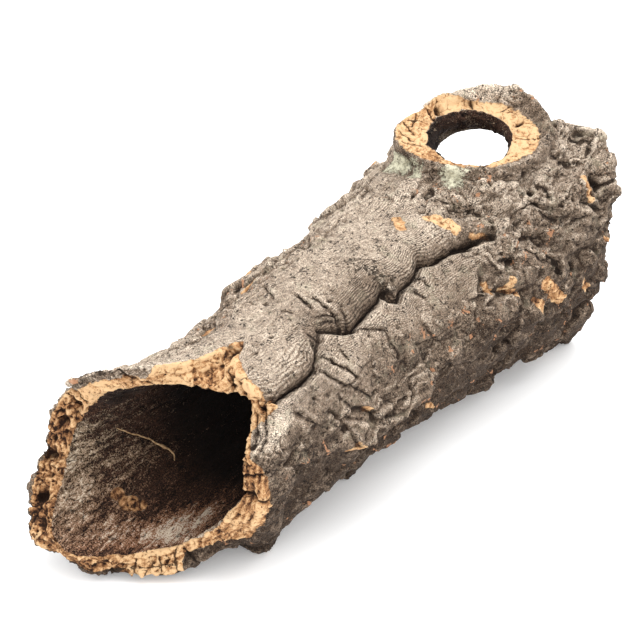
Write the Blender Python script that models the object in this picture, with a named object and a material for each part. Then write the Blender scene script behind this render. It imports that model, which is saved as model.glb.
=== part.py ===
# Cork bark tube: one hollow length of cork oak bark, grown as a single piece.
# It lies along Y with its wide, slanting mouth at -Y and a forked far end at +Y.
# A sawn branch stub opens through the top near the far end.
# Lengths are in millimetres here and become metres when the mesh is made.

import math

import bmesh
import bpy
import numpy as np
from mathutils import Vector, noise

NODE_NAME = "cork_bark_tube"
MM = 0.001

# Cross sections of the bark's outside, from the mouth to the far end:
# station y, centre x, centre z, then eight radii every 45 degrees from +X up through +Z.
SECTIONS = (
    (-275, -16, 87, (68, 74, 77, 80, 94, 92, 80, 72)),
    (-220, -12, 85, (69, 74, 75, 77, 88, 88, 79, 71)),
    (-165, -2, 81, (71, 73, 69, 67, 76, 77, 76, 70)),
    (-100, 5, 82, (74, 74, 70, 69, 74, 76, 77, 74)),
    (-40, 9, 85, (80, 79, 78, 78, 78, 79, 80, 80)),
    (20, 14, 87, (82, 81, 80, 80, 80, 81, 82, 82)),
    (80, 20, 91, (86, 86, 84, 82, 84, 85, 86, 88)),
    (140, 26, 96, (94, 97, 93, 89, 90, 91, 92, 96)),
    (190, 30, 98, (97, 108, 98, 92, 92, 93, 94, 102)),
    (240, 32, 99, (96, 110, 94, 94, 93, 94, 94, 106)),
)
# Usual radius of the outside, for turning degrees into millimetres along the bark.
MEAN_RADIUS = 82
ARC = math.radians(1) * MEAN_RADIUS
WALL = 16
# The wall is thinner over the top of the far end, behind the branch stub.
BRIDGE_WALL = 9
BRIDGE_START = 140
BRIDGE_FULL = 180
BRIDGE_ANGLE = 92
BRIDGE_SPREAD = 32

# Broken edge of the mouth as (degrees, y), on the outside and on the inside of the wall.
MOUTH_OUTSIDE = (
    (0, -190), (18, -180), (36, -164), (56, -168), (72, -156), (81, -138), (89, -172), (97, -206),
    (112, -222), (135, -220), (150, -208), (182, -212), (205, -234), (222, -249), (246, -239),
    (266, -231), (290, -206), (315, -182), (340, -190),
)
MOUTH_INSIDE = (
    (10, -193), (30, -181), (51, -161), (68, -176), (92, -184), (112, -202), (132, -208),
    (152, -203), (180, -209), (200, -220), (224, -250), (236, -254), (256, -235), (278, -214),
    (305, -202), (330, -199), (350, -190),
)
# Broken edge of the far end, the same on both sides of the wall.
FAR_EDGE = (
    (0, 222), (25, 229), (48, 233), (63, 223), (76, 205), (100, 201), (122, 214), (150, 228), (185, 224),
    (215, 231), (250, 226), (285, 228), (315, 222), (340, 217),
)

# Sawn branch stub: centre of its cut face, the way the face looks, and its half widths.
STUB_CENTRE = (35, 150, 200)
STUB_LEAN = 16
STUB_HEADING = 31
STUB_HALF_WIDTH = 50
STUB_HALF_DEPTH = 41
# Outline of the stub from its root to the middle of the cut: (share of the half width,
# height over the cut, share of the bark lip's height).
STUB_PROFILE = (
    (0, -58, 0), (1.3, -58, 0), (1.24, -34, 0), (1.12, -14, 0.5), (1.1, -2, 0.9), (1.06, 0, 1),
    (1.0, 0, 0.85), (0.92, 0, 0.1), (0.8, 0, 0), (0, 0, 0),
)
# The stub's root is cleared out of the tube's bore between these stations.
PLUG_START = 60
PLUG_END = 265
# Bark left standing behind the saw cut, highest at this angle round the stub.
LIP_HEIGHT = 12
LIP_ANGLE = 62
LIP_SPREAD = 62
# The opening sits towards the mouth side of the stub, so its near lip is thin.
HOLE_SHIFT = -7
HOLE_HALF_WIDTH = 30
HOLE_HALF_DEPTH = 30
# Outline of the opening's bore, which flares like a trumpet into the tube.
BORE_PROFILE = (
    (0, -56, 0), (1.5, -56, 0), (1.46, -32, 0), (1.25, -20, 0), (1.02, -11, 0), (0.97, -6, 0),
    (1.0, 0, 0), (1.02, 24, 0), (0, 24, 0),
)

# Long cleft down the upper right flank, as (y, degrees), with a rounded lobe above it.
CLEFT = (
    (-215, 51), (-165, 47), (-143, 42), (-112, 43), (-101, 48), (-70, 49), (-41, 52), (-15, 58),
    (-8, 49), (17, 51), (44, 53), (74, 50), (100, 50),
)
# Stations over which the cleft fades in and out.
CLEFT_IN = (-215, -195)
CLEFT_OUT = (70, 94)
CLEFT_DEPTH = 9
CLEFT_ABOVE = 3.2
CLEFT_BELOW = 5.5
LOBE_RISE = 5
LOBE_WIDTH = 15

# Broken ridge along the right flank, as (y, degrees), with a steep drop below it.
RIDGE = (
    (-165, 363), (-125, 358), (-92, 353), (-33, 356), (-2, 363), (23, 368), (40, 379), (62, 394),
)
RIDGE_IN = (-170, -140)
RIDGE_OUT = (50, 76)
RIDGE_RISE = 4.5
RIDGE_WIDTH = 7
RIDGE_DROP = 5
# The drop starts and dies away at these distances below the crest.
DROP_STARTS = (2, 11)
DROP_ENDS = (24, 48)

# Cracks across the bark: both ends as (y, degrees), then depth and half width.
CRACKS = (
    ((-101, 50), (-91, 31), 4.5, 3.0),
    ((-108, 42), (-102, 22), 3.5, 3.0),
    ((-145, 29), (-137, 20), 3.0, 3.0),
    ((-70, 47), (-43, 40), 3.0, 2.6),
    ((-100, 9), (-77, 4), 3.5, 3.5),
    ((-7, 48), (5, 39), 3.0, 2.6),
    ((10, 51), (15, 42), 3.0, 2.6),
    ((-101, 48), (-112, 64), 2.5, 3.0),
    ((-14, 60), (-6, 72), 3.5, 3.0),
)
# Hollows in the rough far part: y, degrees, depth and radius.
HOLLOWS = (
    (93, 63, 7, 9),
    (134, 24, 6, 10),
    (82, 14, 6, 9),
    (128, 338, 6, 12),
    (104, 46, 4, 8),
    (158, 38, 5, 9),
)
# The top is smooth between these angles and up to the rough far part.
SMOOTH_FROM = (18, 40)
SMOOTH_TO = (92, 122)
SMOOTH_STOPS = (40, 90)
FAR_PART = (50, 120)
# Lumps and stepped plates of the bark: size, height on the smooth top, and what the rough
# sides and the far part add.
LUMP_SIZE = 34
LUMP_HEIGHT = 1.0
LUMP_MORE = 2.4
PLATE_SIZE = 24
PLATE_STEPS = 2.6
PLATE_HEIGHT = 1.3
PLATE_MORE = 1.2
# Lengthwise ripples inside, crumbs on the broken edges and unevenness of the sawn face: size, height.
RIPPLE = (12, 1.3)
CRUMB = (11, 1.8)
SAWN = (14, 0.8)
# Depths over which the outside skin gives way to the break, and the break to the inner wall.
SKIN_ENDS = (3, 9)
INNER_STARTS = (WALL - 6, WALL - 2)
# Where the cut face and the branch opening begin, as shares of the half width and heights.
CUT_EDGE = (0.98, 1.1)
CUT_HEIGHT = (-6, -2)
BORE_EDGE = (0.72, 0.8)
BORE_HEIGHT = (-60, -40)
# The stub's own bark is calmer than the tube's.
STUB_BARK = 0.4
STUB_BARK_FROM = (6, 14)
STUB_BARK_EDGE = (1.2, 1.4)

# Low knobs of the underside, as x, y, radius and reach: three carry the tube, the others
# stay just clear of the floor.
FEET = ((38, -151, 18, 24), (86, 198, 22, 18), (-24, 36, 20, 22))
KNOBS = ((46, -46, 13, 16), (54, 112, 18, 16), (102, 220, 13, 16))
KNOB_CLEARANCE = 1.2
# Only the underside below this height is drawn down into knobs.
KNOB_HEIGHT = 40
# Share of a foot's radius that may touch the floor.
FOOT_SHARE = 0.75

# Columns and rows of the grids that are wrapped into the tube, the stub and their cutters.
TUBE_GRID = (96, 150)
STUB_GRID = (64, 48)
PLUG_GRID = (64, 80)
BORE_GRID = (48, 40)
VOXEL = 2.6
TRIANGLE_TARGET = 11400

# Middle of the finished tube seen from above, which becomes the origin.
PLAN_MIDDLE = (18.7, -8.8)


def clear_scene():
    for obj in list(bpy.data.objects):
        bpy.data.objects.remove(obj, do_unlink=True)


def curve_through(x, stations, values):
    """Smooth curve through the given stations, with no overshoot."""
    x = np.clip(x, stations[0], stations[-1])
    k = np.clip(np.searchsorted(stations, x, side="right") - 1, 0, len(stations) - 2)
    slope = np.diff(values) / np.diff(stations)
    tangent = np.zeros(len(values))
    tangent[0] = slope[0]
    tangent[-1] = slope[-1]
    same_way = slope[:-1] * slope[1:] > 0
    both = np.abs(slope[:-1]) + np.abs(slope[1:])
    tangent[1:-1] = np.where(same_way, 2 * slope[:-1] * slope[1:] / np.where(same_way, both, 1)
                             * np.sign(slope[1:]), 0)
    step = stations[k + 1] - stations[k]
    t = (x - stations[k]) / step
    start = values[k] * (2 * t ** 3 - 3 * t ** 2 + 1) + tangent[k] * step * (t ** 3 - 2 * t ** 2 + t)
    end = values[k + 1] * (3 * t ** 2 - 2 * t ** 3) + tangent[k + 1] * step * (t ** 3 - t ** 2)
    return start + end


def edge_line(degrees, points):
    """Height of a closed edge line at each angle, smooth across 0 and 360."""
    angles = np.array([p[0] for p in points], float)
    heights = np.array([p[1] for p in points], float)
    angles = np.concatenate((angles - 360, angles, angles + 360))
    return curve_through(np.mod(degrees, 360), angles, np.tile(heights, 3))


def centre_line(y):
    stations = np.array([s[0] for s in SECTIONS], float)
    x = curve_through(y, stations, np.array([s[1] for s in SECTIONS], float))
    z = curve_through(y, stations, np.array([s[2] for s in SECTIONS], float))
    return x, z


def outside_radius(y, degrees):
    """Radius of the smooth outside form, blended between the eight radii of each section."""
    stations = np.array([s[0] for s in SECTIONS], float)
    radii = np.array([s[3] for s in SECTIONS], float)
    lengthwise = np.stack([curve_through(y, stations, radii[:, k]) for k in range(8)])
    turn = np.mod(degrees, 360) / 45
    k = np.floor(turn).astype(int) % 8
    t = turn - np.floor(turn)
    picks = np.arange(len(turn))
    a, b, c, d = (lengthwise[(k + shift) % 8, picks] for shift in (-1, 0, 1, 2))
    return b + 0.5 * t * (c - a + t * (2 * a - 5 * b + 4 * c - d + t * (3 * (b - c) + d - a)))


def angle_gap(degrees, line):
    return (degrees - line + 180) % 360 - 180


def fade(value, low, high):
    t = np.clip((value - low) / (high - low), 0, 1)
    return t * t * (3 - 2 * t)


def wall_thickness(y, degrees):
    bridge = fade(y, BRIDGE_START, BRIDGE_FULL)
    bridge = bridge * np.exp(-(angle_gap(degrees, BRIDGE_ANGLE) / BRIDGE_SPREAD) ** 2)
    return WALL + (BRIDGE_WALL - WALL) * bridge


def polar_coords(points):
    """Station, angle and depth below the smooth outside form, for points in millimetres."""
    y = points[:, 1]
    cx, cz = centre_line(y)
    dx = points[:, 0] - cx
    dz = points[:, 2] - cz
    degrees = np.degrees(np.arctan2(dz, dx)) % 360
    depth = outside_radius(y, degrees) - np.hypot(dx, dz)
    return y, degrees, depth


def stub_axes():
    """Width, depth and outward directions of the stub's cut face."""
    lean = math.radians(STUB_LEAN)
    heading = math.radians(STUB_HEADING)
    tip = math.sin(lean)
    outward = Vector((tip * math.sin(heading), -tip * math.cos(heading), math.cos(lean)))
    width = Vector((math.cos(heading), math.sin(heading), 0))
    return width, outward.cross(width), outward


def stub_coords(points):
    """Radius (1 at the rim of the cut), angle and height over the cut face."""
    width, depth, outward = (np.array(axis) for axis in stub_axes())
    local = points - np.array(STUB_CENTRE, float)
    u = local @ width / STUB_HALF_WIDTH
    v = local @ depth / STUB_HALF_DEPTH
    return np.hypot(u, v), np.degrees(np.arctan2(v, u)) % 360, local @ outward


def new_object(name, bm):
    mesh = bpy.data.meshes.new(name)
    bmesh.ops.recalc_face_normals(bm, faces=bm.faces)
    bm.to_mesh(mesh)
    bm.free()
    obj = bpy.data.objects.new(name, mesh)
    bpy.context.scene.collection.objects.link(obj)
    return obj


def closed_grid(name, size, place):
    """A grid wrapped into a closed skin: place(turn, walk) gives points in millimetres."""
    columns, rows = size
    bm = bmesh.new()
    bmesh.ops.create_grid(bm, x_segments=columns, y_segments=rows, size=0.5)
    grid = np.array([v.co for v in bm.verts]) + 0.5
    points = place(grid[:, 0] % 1.0 * (grid[:, 0] < 0.9999), grid[:, 1]) * MM
    for vert, point in zip(bm.verts, points):
        vert.co = point
    bmesh.ops.remove_doubles(bm, verts=bm.verts, dist=0.0001)
    return new_object(name, bm)


def tube_place(turn, walk):
    """Walk along the outside, across the far edge, back inside and across the mouth's edge."""
    outside_end = 0.47
    inside_start = 0.5
    inside_end = 0.97
    degrees = turn * 360
    walk = np.where(walk > 0.9999, 0, walk)
    mouth_out = edge_line(degrees, MOUTH_OUTSIDE)
    mouth_in = edge_line(degrees, MOUTH_INSIDE)
    far = edge_line(degrees, FAR_EDGE)
    y = np.where(
        walk < outside_end, mouth_out + (far - mouth_out) * walk / outside_end,
        np.where(walk < inside_start, far,
                 far + (mouth_in - far) * (walk - inside_start) / (inside_end - inside_start)))
    full = wall_thickness(y, degrees)
    wall = np.where(
        walk < outside_end, 0,
        np.where(walk < inside_start, full * (walk - outside_end) / (inside_start - outside_end), full))
    closing = np.clip((walk - inside_end) / (1 - inside_end), 0, 1)
    y = np.where(closing > 0, mouth_in + (mouth_out - mouth_in) * closing, y)
    wall = wall * (1 - closing)
    cx, cz = centre_line(y)
    radius = outside_radius(y, degrees) - wall
    angle = np.radians(degrees)
    return np.stack((cx + radius * np.cos(angle), y, cz + radius * np.sin(angle)), axis=1)


def turned_place(turn, walk, profile, shift, half_width, half_depth):
    """An oval turned shape over the stub's cut face, from its outline."""
    outline = np.array(profile, float)
    steps = np.hypot(np.diff(outline[:, 0]) * half_width, np.diff(outline[:, 1])) + 1
    walked = np.concatenate(((0,), np.cumsum(steps))) / steps.sum()
    angle = turn * 2 * math.pi
    lip = LIP_HEIGHT * np.exp(-(angle_gap(turn * 360, LIP_ANGLE) / LIP_SPREAD) ** 2)
    ring = curve_through(walk, walked, outline[:, 0])
    height = curve_through(walk, walked, outline[:, 1]) + lip * curve_through(walk, walked, outline[:, 2])
    width, depth, outward = (np.array(axis) for axis in stub_axes())
    return (np.array(STUB_CENTRE, float)
            + np.outer(ring * half_width * np.cos(angle), width)
            + np.outer(ring * half_depth * np.sin(angle) + shift, depth)
            + np.outer(height, outward))


def stub_place(turn, walk):
    return turned_place(turn, walk, STUB_PROFILE, 0, STUB_HALF_WIDTH, STUB_HALF_DEPTH)


def plug_place(turn, walk):
    """The tube's bore around the stub: out from the axis, along the wall and back to the axis."""
    out = 0.2
    back = 0.8
    degrees = turn * 360
    y = PLUG_START + (PLUG_END - PLUG_START) * np.clip((walk - out) / (back - out), 0, 1)
    share = np.minimum(np.clip(walk / out, 0, 1), np.clip((1 - walk) / (1 - back), 0, 1))
    clearance = 0.2
    cx, cz = centre_line(y)
    radius = (outside_radius(y, degrees) - wall_thickness(y, degrees) - clearance) * share
    angle = np.radians(degrees)
    return np.stack((cx + radius * np.cos(angle), y, cz + radius * np.sin(angle)), axis=1)


def bore_place(turn, walk):
    return turned_place(turn, walk, BORE_PROFILE, HOLE_SHIFT, HOLE_HALF_WIDTH, HOLE_HALF_DEPTH)


def rough(points, size, octaves):
    """Fractal noise of the given lump size, about -1 to 1."""
    return np.array([noise.fractal(Vector(p) / size, 0.9, 2.0, octaves) for p in points])


def terrace(value):
    """Flat treads with steep steps between them."""
    tread = np.floor(value)
    return tread + fade(value - tread, 0.62, 0.98)


def crack_relief(y, degrees):
    relief = np.zeros_like(y)
    for (y0, a0), (y1, a1), depth, half_width in CRACKS:
        start = np.array((y0, a0 * ARC))
        run = np.array((y1, a1 * ARC)) - start
        py = y - start[0]
        ps = angle_gap(degrees, a0) * ARC
        t = np.clip((py * run[0] + ps * run[1]) / (run @ run), 0, 1)
        gap = np.hypot(py - t * run[0], ps - t * run[1])
        relief -= depth * np.exp(-(gap / half_width) ** 2)
    return relief


def bark_relief(points, y, degrees):
    """How far the bark stands out from the smooth form, in millimetres."""
    cleft = curve_through(y, *np.array(CLEFT, float).T)
    across = angle_gap(degrees, cleft) * ARC
    along = fade(y, *CLEFT_IN) * (1 - fade(y, *CLEFT_OUT))
    width = np.where(across > 0, CLEFT_ABOVE, CLEFT_BELOW)
    relief = -CLEFT_DEPTH * np.exp(-(across / width) ** 2) * along
    relief += LOBE_RISE * np.exp(-((across - LOBE_WIDTH) / LOBE_WIDTH) ** 2) * along

    ridge_y = np.array([p[0] for p in RIDGE], float)
    crest = curve_through(y, ridge_y, np.array([p[1] for p in RIDGE], float))
    below = angle_gap(degrees, crest) * ARC
    ridge_along = fade(y, *RIDGE_IN) * (1 - fade(y, *RIDGE_OUT))
    relief += RIDGE_RISE * np.exp(-(below / RIDGE_WIDTH) ** 2) * ridge_along
    relief -= RIDGE_DROP * fade(-below, *DROP_STARTS) * (1 - fade(-below, *DROP_ENDS)) * ridge_along

    relief += crack_relief(y, degrees)
    for hollow_y, hollow_angle, depth, radius in HOLLOWS:
        gap = np.hypot(y - hollow_y, angle_gap(degrees, hollow_angle) * ARC)
        relief -= depth * np.exp(-(gap / radius) ** 2)

    smooth_top = fade(degrees, *SMOOTH_FROM) * (1 - fade(degrees, *SMOOTH_TO))
    smooth_top = smooth_top * (1 - fade(y, *SMOOTH_STOPS))
    far_part = fade(y, *FAR_PART)
    lumps = rough(points, LUMP_SIZE, 2)
    flattened = points * np.array((1, 0.6, 1)) + 300
    plates = terrace(rough(flattened, PLATE_SIZE, 2) * PLATE_STEPS) + 0.4
    relief += lumps * (LUMP_HEIGHT + LUMP_MORE * (1 - smooth_top) + LUMP_MORE * far_part)
    relief += plates * (1 - smooth_top) * (PLATE_HEIGHT + PLATE_MORE * far_part)
    return relief


def raise_relief(obj):
    """Move the skin out along its normals: bark outside, long ripples inside, crumbs on breaks."""
    mesh = obj.data
    count = len(mesh.vertices)
    points = np.empty(count * 3)
    mesh.vertices.foreach_get("co", points)
    points = points.reshape(-1, 3) / MM
    normals = np.empty(count * 3)
    mesh.vertex_normals.foreach_get("vector", normals)
    normals = normals.reshape(-1, 3)

    y, degrees, depth = polar_coords(points)
    ring, _, height = stub_coords(points)
    outside = 1 - fade(depth, *SKIN_ENDS)
    inside = fade(depth, *INNER_STARTS)
    cut_face = (1 - fade(ring, *CUT_EDGE)) * fade(height, *CUT_HEIGHT)
    bore = (1 - fade(ring, *BORE_EDGE)) * fade(height, *BORE_HEIGHT)

    stub_only = fade(-depth, *STUB_BARK_FROM) * (1 - fade(ring, *STUB_BARK_EDGE))
    stub_bark = 1 - (1 - STUB_BARK) * stub_only
    bark = bark_relief(points, y, degrees) * outside * stub_bark * (1 - cut_face) * (1 - bore)
    lengthwise = points * np.array((1, 0.25, 1))
    ripples = rough(lengthwise, RIPPLE[0], 2) * RIPPLE[1] * inside
    crumbs = rough(points + 700, CRUMB[0], 2) * CRUMB[1] * (1 - outside) * (1 - inside)
    saw_marks = rough(points + 500, SAWN[0], 2) * SAWN[1] * np.maximum(cut_face, bore)
    points = points + normals * (bark + ripples + crumbs + saw_marks)[:, None]

    # The knobs reach a little below the floor, and the floor trims the feet to flat spots.
    for foot_x, foot_y, radius, reach in FEET + KNOBS:
        gap = np.hypot(points[:, 0] - foot_x, points[:, 1] - foot_y)
        under = (depth < np.mean(SKIN_ENDS)) & (points[:, 2] < KNOB_HEIGHT)
        points[:, 2] -= np.where(under, reach * np.exp(-(gap / radius) ** 2), 0)
    mesh.vertices.foreach_set("co", (points * MM).ravel())
    mesh.update()


def trim_feet(obj):
    """Nothing lies below the floor, and only the feet touch it."""
    feet = np.array(FEET, float)
    for vert in obj.data.vertices:
        gaps = np.hypot(vert.co.x / MM - feet[:, 0], vert.co.y / MM - feet[:, 1])
        lowest = 0 if (gaps < feet[:, 2] * FOOT_SHARE).any() else KNOB_CLEARANCE
        vert.co.z = max(vert.co.z, lowest * MM)
    obj.data.update()


def centre_on_origin(obj):
    for vert in obj.data.vertices:
        vert.co.x -= PLAN_MIDDLE[0] * MM
        vert.co.y -= PLAN_MIDDLE[1] * MM
    obj.data.update()


def bake_modifiers(obj):
    """Replace the mesh with the shape its modifiers give."""
    bpy.context.view_layer.update()
    evaluated = obj.evaluated_get(bpy.context.evaluated_depsgraph_get())
    shaped = bpy.data.meshes.new_from_object(evaluated)
    obj.modifiers.clear()
    obj.data = shaped


def add_boolean(obj, other, operation):
    modifier = obj.modifiers.new(operation.lower(), "BOOLEAN")
    modifier.operation = operation
    modifier.solver = "EXACT"
    modifier.object = other


def bark_material():
    material = bpy.data.materials.new("cork_bark")
    material.use_nodes = True
    shader = material.node_tree.nodes["Principled BSDF"]
    shader.inputs["Base Color"].default_value = (0.29, 0.245, 0.2, 1)
    shader.inputs["Roughness"].default_value = 0.92
    shader.inputs["Metallic"].default_value = 0
    return material


def make_tube():
    tube = closed_grid(NODE_NAME, TUBE_GRID, tube_place)
    stub = closed_grid("branch_stub", STUB_GRID, stub_place)
    tube_bore = closed_grid("tube_bore", PLUG_GRID, plug_place)
    branch_bore = closed_grid("branch_bore", BORE_GRID, bore_place)
    cutters = (tube_bore, branch_bore)
    for cutter in cutters:
        cutter.hide_render = True
        cutter.display_type = "WIRE"
    add_boolean(tube, stub, "UNION")
    bake_modifiers(tube)
    bpy.data.objects.remove(stub, do_unlink=True)
    for cutter in cutters:
        add_boolean(tube, cutter, "DIFFERENCE")
    even = tube.modifiers.new("even_skin", "REMESH")
    even.mode = "VOXEL"
    even.voxel_size = VOXEL * MM
    bake_modifiers(tube)
    for cutter in cutters:
        bpy.data.objects.remove(cutter, do_unlink=True)

    raise_relief(tube)
    triangles = sum(len(p.vertices) - 2 for p in tube.data.polygons)
    thin = tube.modifiers.new("fewer_faces", "DECIMATE")
    thin.ratio = TRIANGLE_TARGET / triangles
    bake_modifiers(tube)
    trim_feet(tube)
    centre_on_origin(tube)
    tube.data.name = NODE_NAME
    tube.data.materials.append(bark_material())
    for polygon in tube.data.polygons:
        polygon.use_smooth = True
    return tube


clear_scene()
make_tube()
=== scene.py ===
import math
from types import SimpleNamespace

import bmesh
import bpy
import numpy as np
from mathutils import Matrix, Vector, noise


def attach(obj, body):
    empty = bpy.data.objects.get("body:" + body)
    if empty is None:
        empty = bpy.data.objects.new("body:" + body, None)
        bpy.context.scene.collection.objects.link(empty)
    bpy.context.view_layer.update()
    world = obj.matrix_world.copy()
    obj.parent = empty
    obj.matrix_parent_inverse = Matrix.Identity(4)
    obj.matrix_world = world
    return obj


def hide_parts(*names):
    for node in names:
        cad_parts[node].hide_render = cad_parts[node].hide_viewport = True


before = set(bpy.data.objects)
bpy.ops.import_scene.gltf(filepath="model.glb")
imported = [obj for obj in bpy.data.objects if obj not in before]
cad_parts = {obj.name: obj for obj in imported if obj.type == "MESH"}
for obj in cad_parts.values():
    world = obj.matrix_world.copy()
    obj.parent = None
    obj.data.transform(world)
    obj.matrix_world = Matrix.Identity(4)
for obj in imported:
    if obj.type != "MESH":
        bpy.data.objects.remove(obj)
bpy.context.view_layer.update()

mm = 0.001
planMiddle = np.array((18.7, -8.8, 0.0))   # the form below is drawn this far off the origin, in mm


# Small helpers: curves, fades and noise

def curveThrough(x, stations, values):
    # smooth through every station, never past the values
    x = np.clip(x, stations[0], stations[-1])
    k = np.clip(np.searchsorted(stations, x, side="right") - 1, 0, len(stations) - 2)
    slope = np.diff(values) / np.diff(stations)
    tangent = np.zeros(len(values))
    tangent[0] = slope[0]
    tangent[-1] = slope[-1]
    sameWay = slope[:-1] * slope[1:] > 0
    both = np.where(sameWay, np.abs(slope[:-1]) + np.abs(slope[1:]), 1)
    tangent[1:-1] = np.where(sameWay, 2 * slope[:-1] * slope[1:] / both * np.sign(slope[1:]), 0)
    step = stations[k + 1] - stations[k]
    t = (x - stations[k]) / step
    start = values[k] * (2 * t ** 3 - 3 * t ** 2 + 1) + tangent[k] * step * (t ** 3 - 2 * t ** 2 + t)
    end = values[k + 1] * (3 * t ** 2 - 2 * t ** 3) + tangent[k + 1] * step * (t ** 3 - t ** 2)
    return start + end


def alongLine(x, points):
    stations, values = np.array(points, float).T
    return curveThrough(x, stations, values)


def aroundRing(degrees, points):
    # a value keyed by angle, smooth across 0 and 360
    angles, values = np.array(points, float).T
    angles = np.concatenate((angles - 360, angles, angles + 360))
    return curveThrough(np.mod(degrees, 360), angles, np.tile(values, 3))


def angleGap(degrees, line):
    return (degrees - line + 180) % 360 - 180


def fade(value, low, high):
    t = np.clip((value - low) / (high - low), 0, 1)
    return t * t * (3 - 2 * t)


def hump(distance, radius):
    return np.exp(-(distance / radius) ** 2)


def rough(points, size, octaves, shift=0.0, along=1.0):
    # fractal noise with lumps of this size, about -1 to 1, longer in Y where along is below 1
    scaled = (points * np.array((1, along, 1)) + shift) / size
    return np.array([noise.fractal(p, 0.9, 2.0, octaves) for p in scaled.tolist()])


def cells(points, size, shift=0.0):
    # distance to the nearest cell middle in mm, and that cell's own number 0 to 1
    near, number = [], []
    for p in ((points + shift) / size).tolist():
        gaps, middles = noise.voronoi(p)
        near.append(gaps[0])
        m = middles[0]
        number.append(math.sin(m[0] * 12.9898 + m[1] * 78.233 + m[2] * 37.719) * 43758.5453 % 1.0)
    return np.array(near) * size, np.array(number)


def terrace(value):
    # flat treads with steep steps between them
    tread = np.floor(value)
    return tread + fade(value - tread, 0.62, 0.98)


# The form: cross sections, broken ends and the branch stub, as in the solid

form = {
    # y, centre x, centre z, radii every 45 degrees from +X up through +Z
    "sections": (
        (-275, -16, 87, (68, 74, 77, 80, 94, 92, 80, 72)),
        (-220, -12, 85, (69, 74, 75, 77, 88, 88, 79, 71)),
        (-165, -2, 81, (71, 73, 69, 67, 76, 77, 76, 70)),
        (-100, 5, 82, (74, 74, 70, 69, 74, 76, 77, 74)),
        (-40, 9, 85, (80, 79, 78, 78, 78, 79, 80, 80)),
        (20, 14, 87, (82, 81, 80, 80, 80, 81, 82, 82)),
        (80, 20, 91, (86, 86, 84, 82, 84, 85, 86, 88)),
        (140, 26, 96, (94, 97, 93, 89, 90, 91, 92, 96)),
        (190, 30, 98, (97, 108, 98, 92, 92, 93, 94, 102)),
        (240, 32, 99, (96, 110, 94, 94, 93, 94, 94, 106)),
    ),
    "wall": 16,
    "bridgeWall": 9,          # thinner over the top of the far end, behind the stub
    "bridgeStart": 140,
    "bridgeAngle": 92,
    # the mouth's broken edge as (degrees, y), outside and inside of the wall
    "mouthOutside": (
        (0, -190), (18, -180), (36, -164), (56, -168), (72, -156), (81, -138), (89, -172), (97, -206),
        (112, -222), (135, -220), (150, -208), (182, -212), (205, -234), (222, -249), (246, -239),
        (266, -231), (290, -206), (315, -182), (340, -190),
    ),
    "mouthInside": (
        (10, -193), (30, -181), (51, -161), (68, -176), (92, -184), (112, -202), (132, -208),
        (152, -203), (180, -209), (200, -220), (224, -250), (236, -254), (256, -235), (278, -214),
        (305, -202), (330, -199), (350, -190),
    ),
    "farEdge": (
        (0, 222), (25, 229), (48, 233), (63, 223), (76, 205), (100, 201), (122, 214), (150, 228),
        (185, 224), (215, 231), (250, 226), (285, 228), (315, 222), (340, 217),
    ),
    "arc": math.radians(1) * 82,       # mm round the outside for each degree
}

stub = {
    "centre": (35, 150, 200),
    "lean": 16,
    "heading": 31,
    "halfWidth": 50,
    "halfDepth": 41,
    # share of the half width, height over the cut, share of the bark lip's height
    "profile": (
        (0, -58, 0), (1.3, -58, 0), (1.24, -34, 0), (1.12, -14, 0.5), (1.1, -2, 0.9), (1.06, 0, 1),
        (1.0, 0, 0.85), (0.92, 0, 0.1), (0.8, 0, 0), (0, 0, 0),
    ),
    "plugStart": 60,
    "plugEnd": 265,
    "lipHeight": 12,
    "lipAngle": 62,
    "lipSpread": 62,
    "holeShift": -7,
    "holeHalf": 30,
    "leftNarrowing": 5,       # the branch hole gets this much narrower below its rim, on the left
    "outline": (
        (0, 7), (30, 8), (60, 5), (85, 0), (105, -3), (118, 0), (135, -4), (150, -2), (172, 3), (195, 5),
        (215, 2), (250, 0), (320, 3),
    ),
    # where the face slopes into the hole: angle round it, width of the dark crumbly slope in mm
    "slope": ((0, 2), (45, 2.5), (90, 4.5), (125, 6), (160, 7), (200, 6), (230, 3), (300, 1.5)),
    "boreProfile": (
        (0, -56, 0), (1.5, -56, 0), (1.46, -32, 0), (1.25, -20, 0), (1.02, -11, 0), (0.97, -6, 0),
        (1.0, 0, 0), (1.02, 24, 0), (0, 24, 0),
    ),
}


def centreLine(y):
    return (alongLine(y, [s[:2] for s in form["sections"]]),
            alongLine(y, [(s[0], s[2]) for s in form["sections"]]))


def outsideRadius(y, degrees):
    stations = np.array([s[0] for s in form["sections"]], float)
    radii = np.array([s[3] for s in form["sections"]], float)
    lengthwise = np.stack([curveThrough(y, stations, radii[:, k]) for k in range(8)])
    turn = np.mod(degrees, 360) / 45
    k = np.floor(turn).astype(int) % 8
    t = turn - np.floor(turn)
    picks = np.arange(len(turn))
    a, b, c, d = (lengthwise[(k + shift) % 8, picks] for shift in (-1, 0, 1, 2))
    return b + 0.5 * t * (c - a + t * (2 * a - 5 * b + 4 * c - d + t * (3 * (b - c) + d - a)))


def wallThickness(y, degrees):
    start = form["bridgeStart"]
    bridge = fade(y, start, start + 40) * hump(angleGap(degrees, form["bridgeAngle"]), 32)
    return form["wall"] + (form["bridgeWall"] - form["wall"]) * bridge


def tubeCoords(points):
    # station, angle and depth below the smooth outside
    y = points[:, 1]
    cx, cz = centreLine(y)
    dx = points[:, 0] - cx
    dz = points[:, 2] - cz
    degrees = np.degrees(np.arctan2(dz, dx)) % 360
    return y, degrees, outsideRadius(y, degrees) - np.hypot(dx, dz)


def stubAxes():
    lean = math.radians(stub["lean"])
    heading = math.radians(stub["heading"])
    tip = math.sin(lean)
    outward = Vector((tip * math.sin(heading), -tip * math.cos(heading), math.cos(lean)))
    width = Vector((math.cos(heading), math.sin(heading), 0))
    return np.array(width), np.array(outward.cross(width)), np.array(outward)


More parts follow.
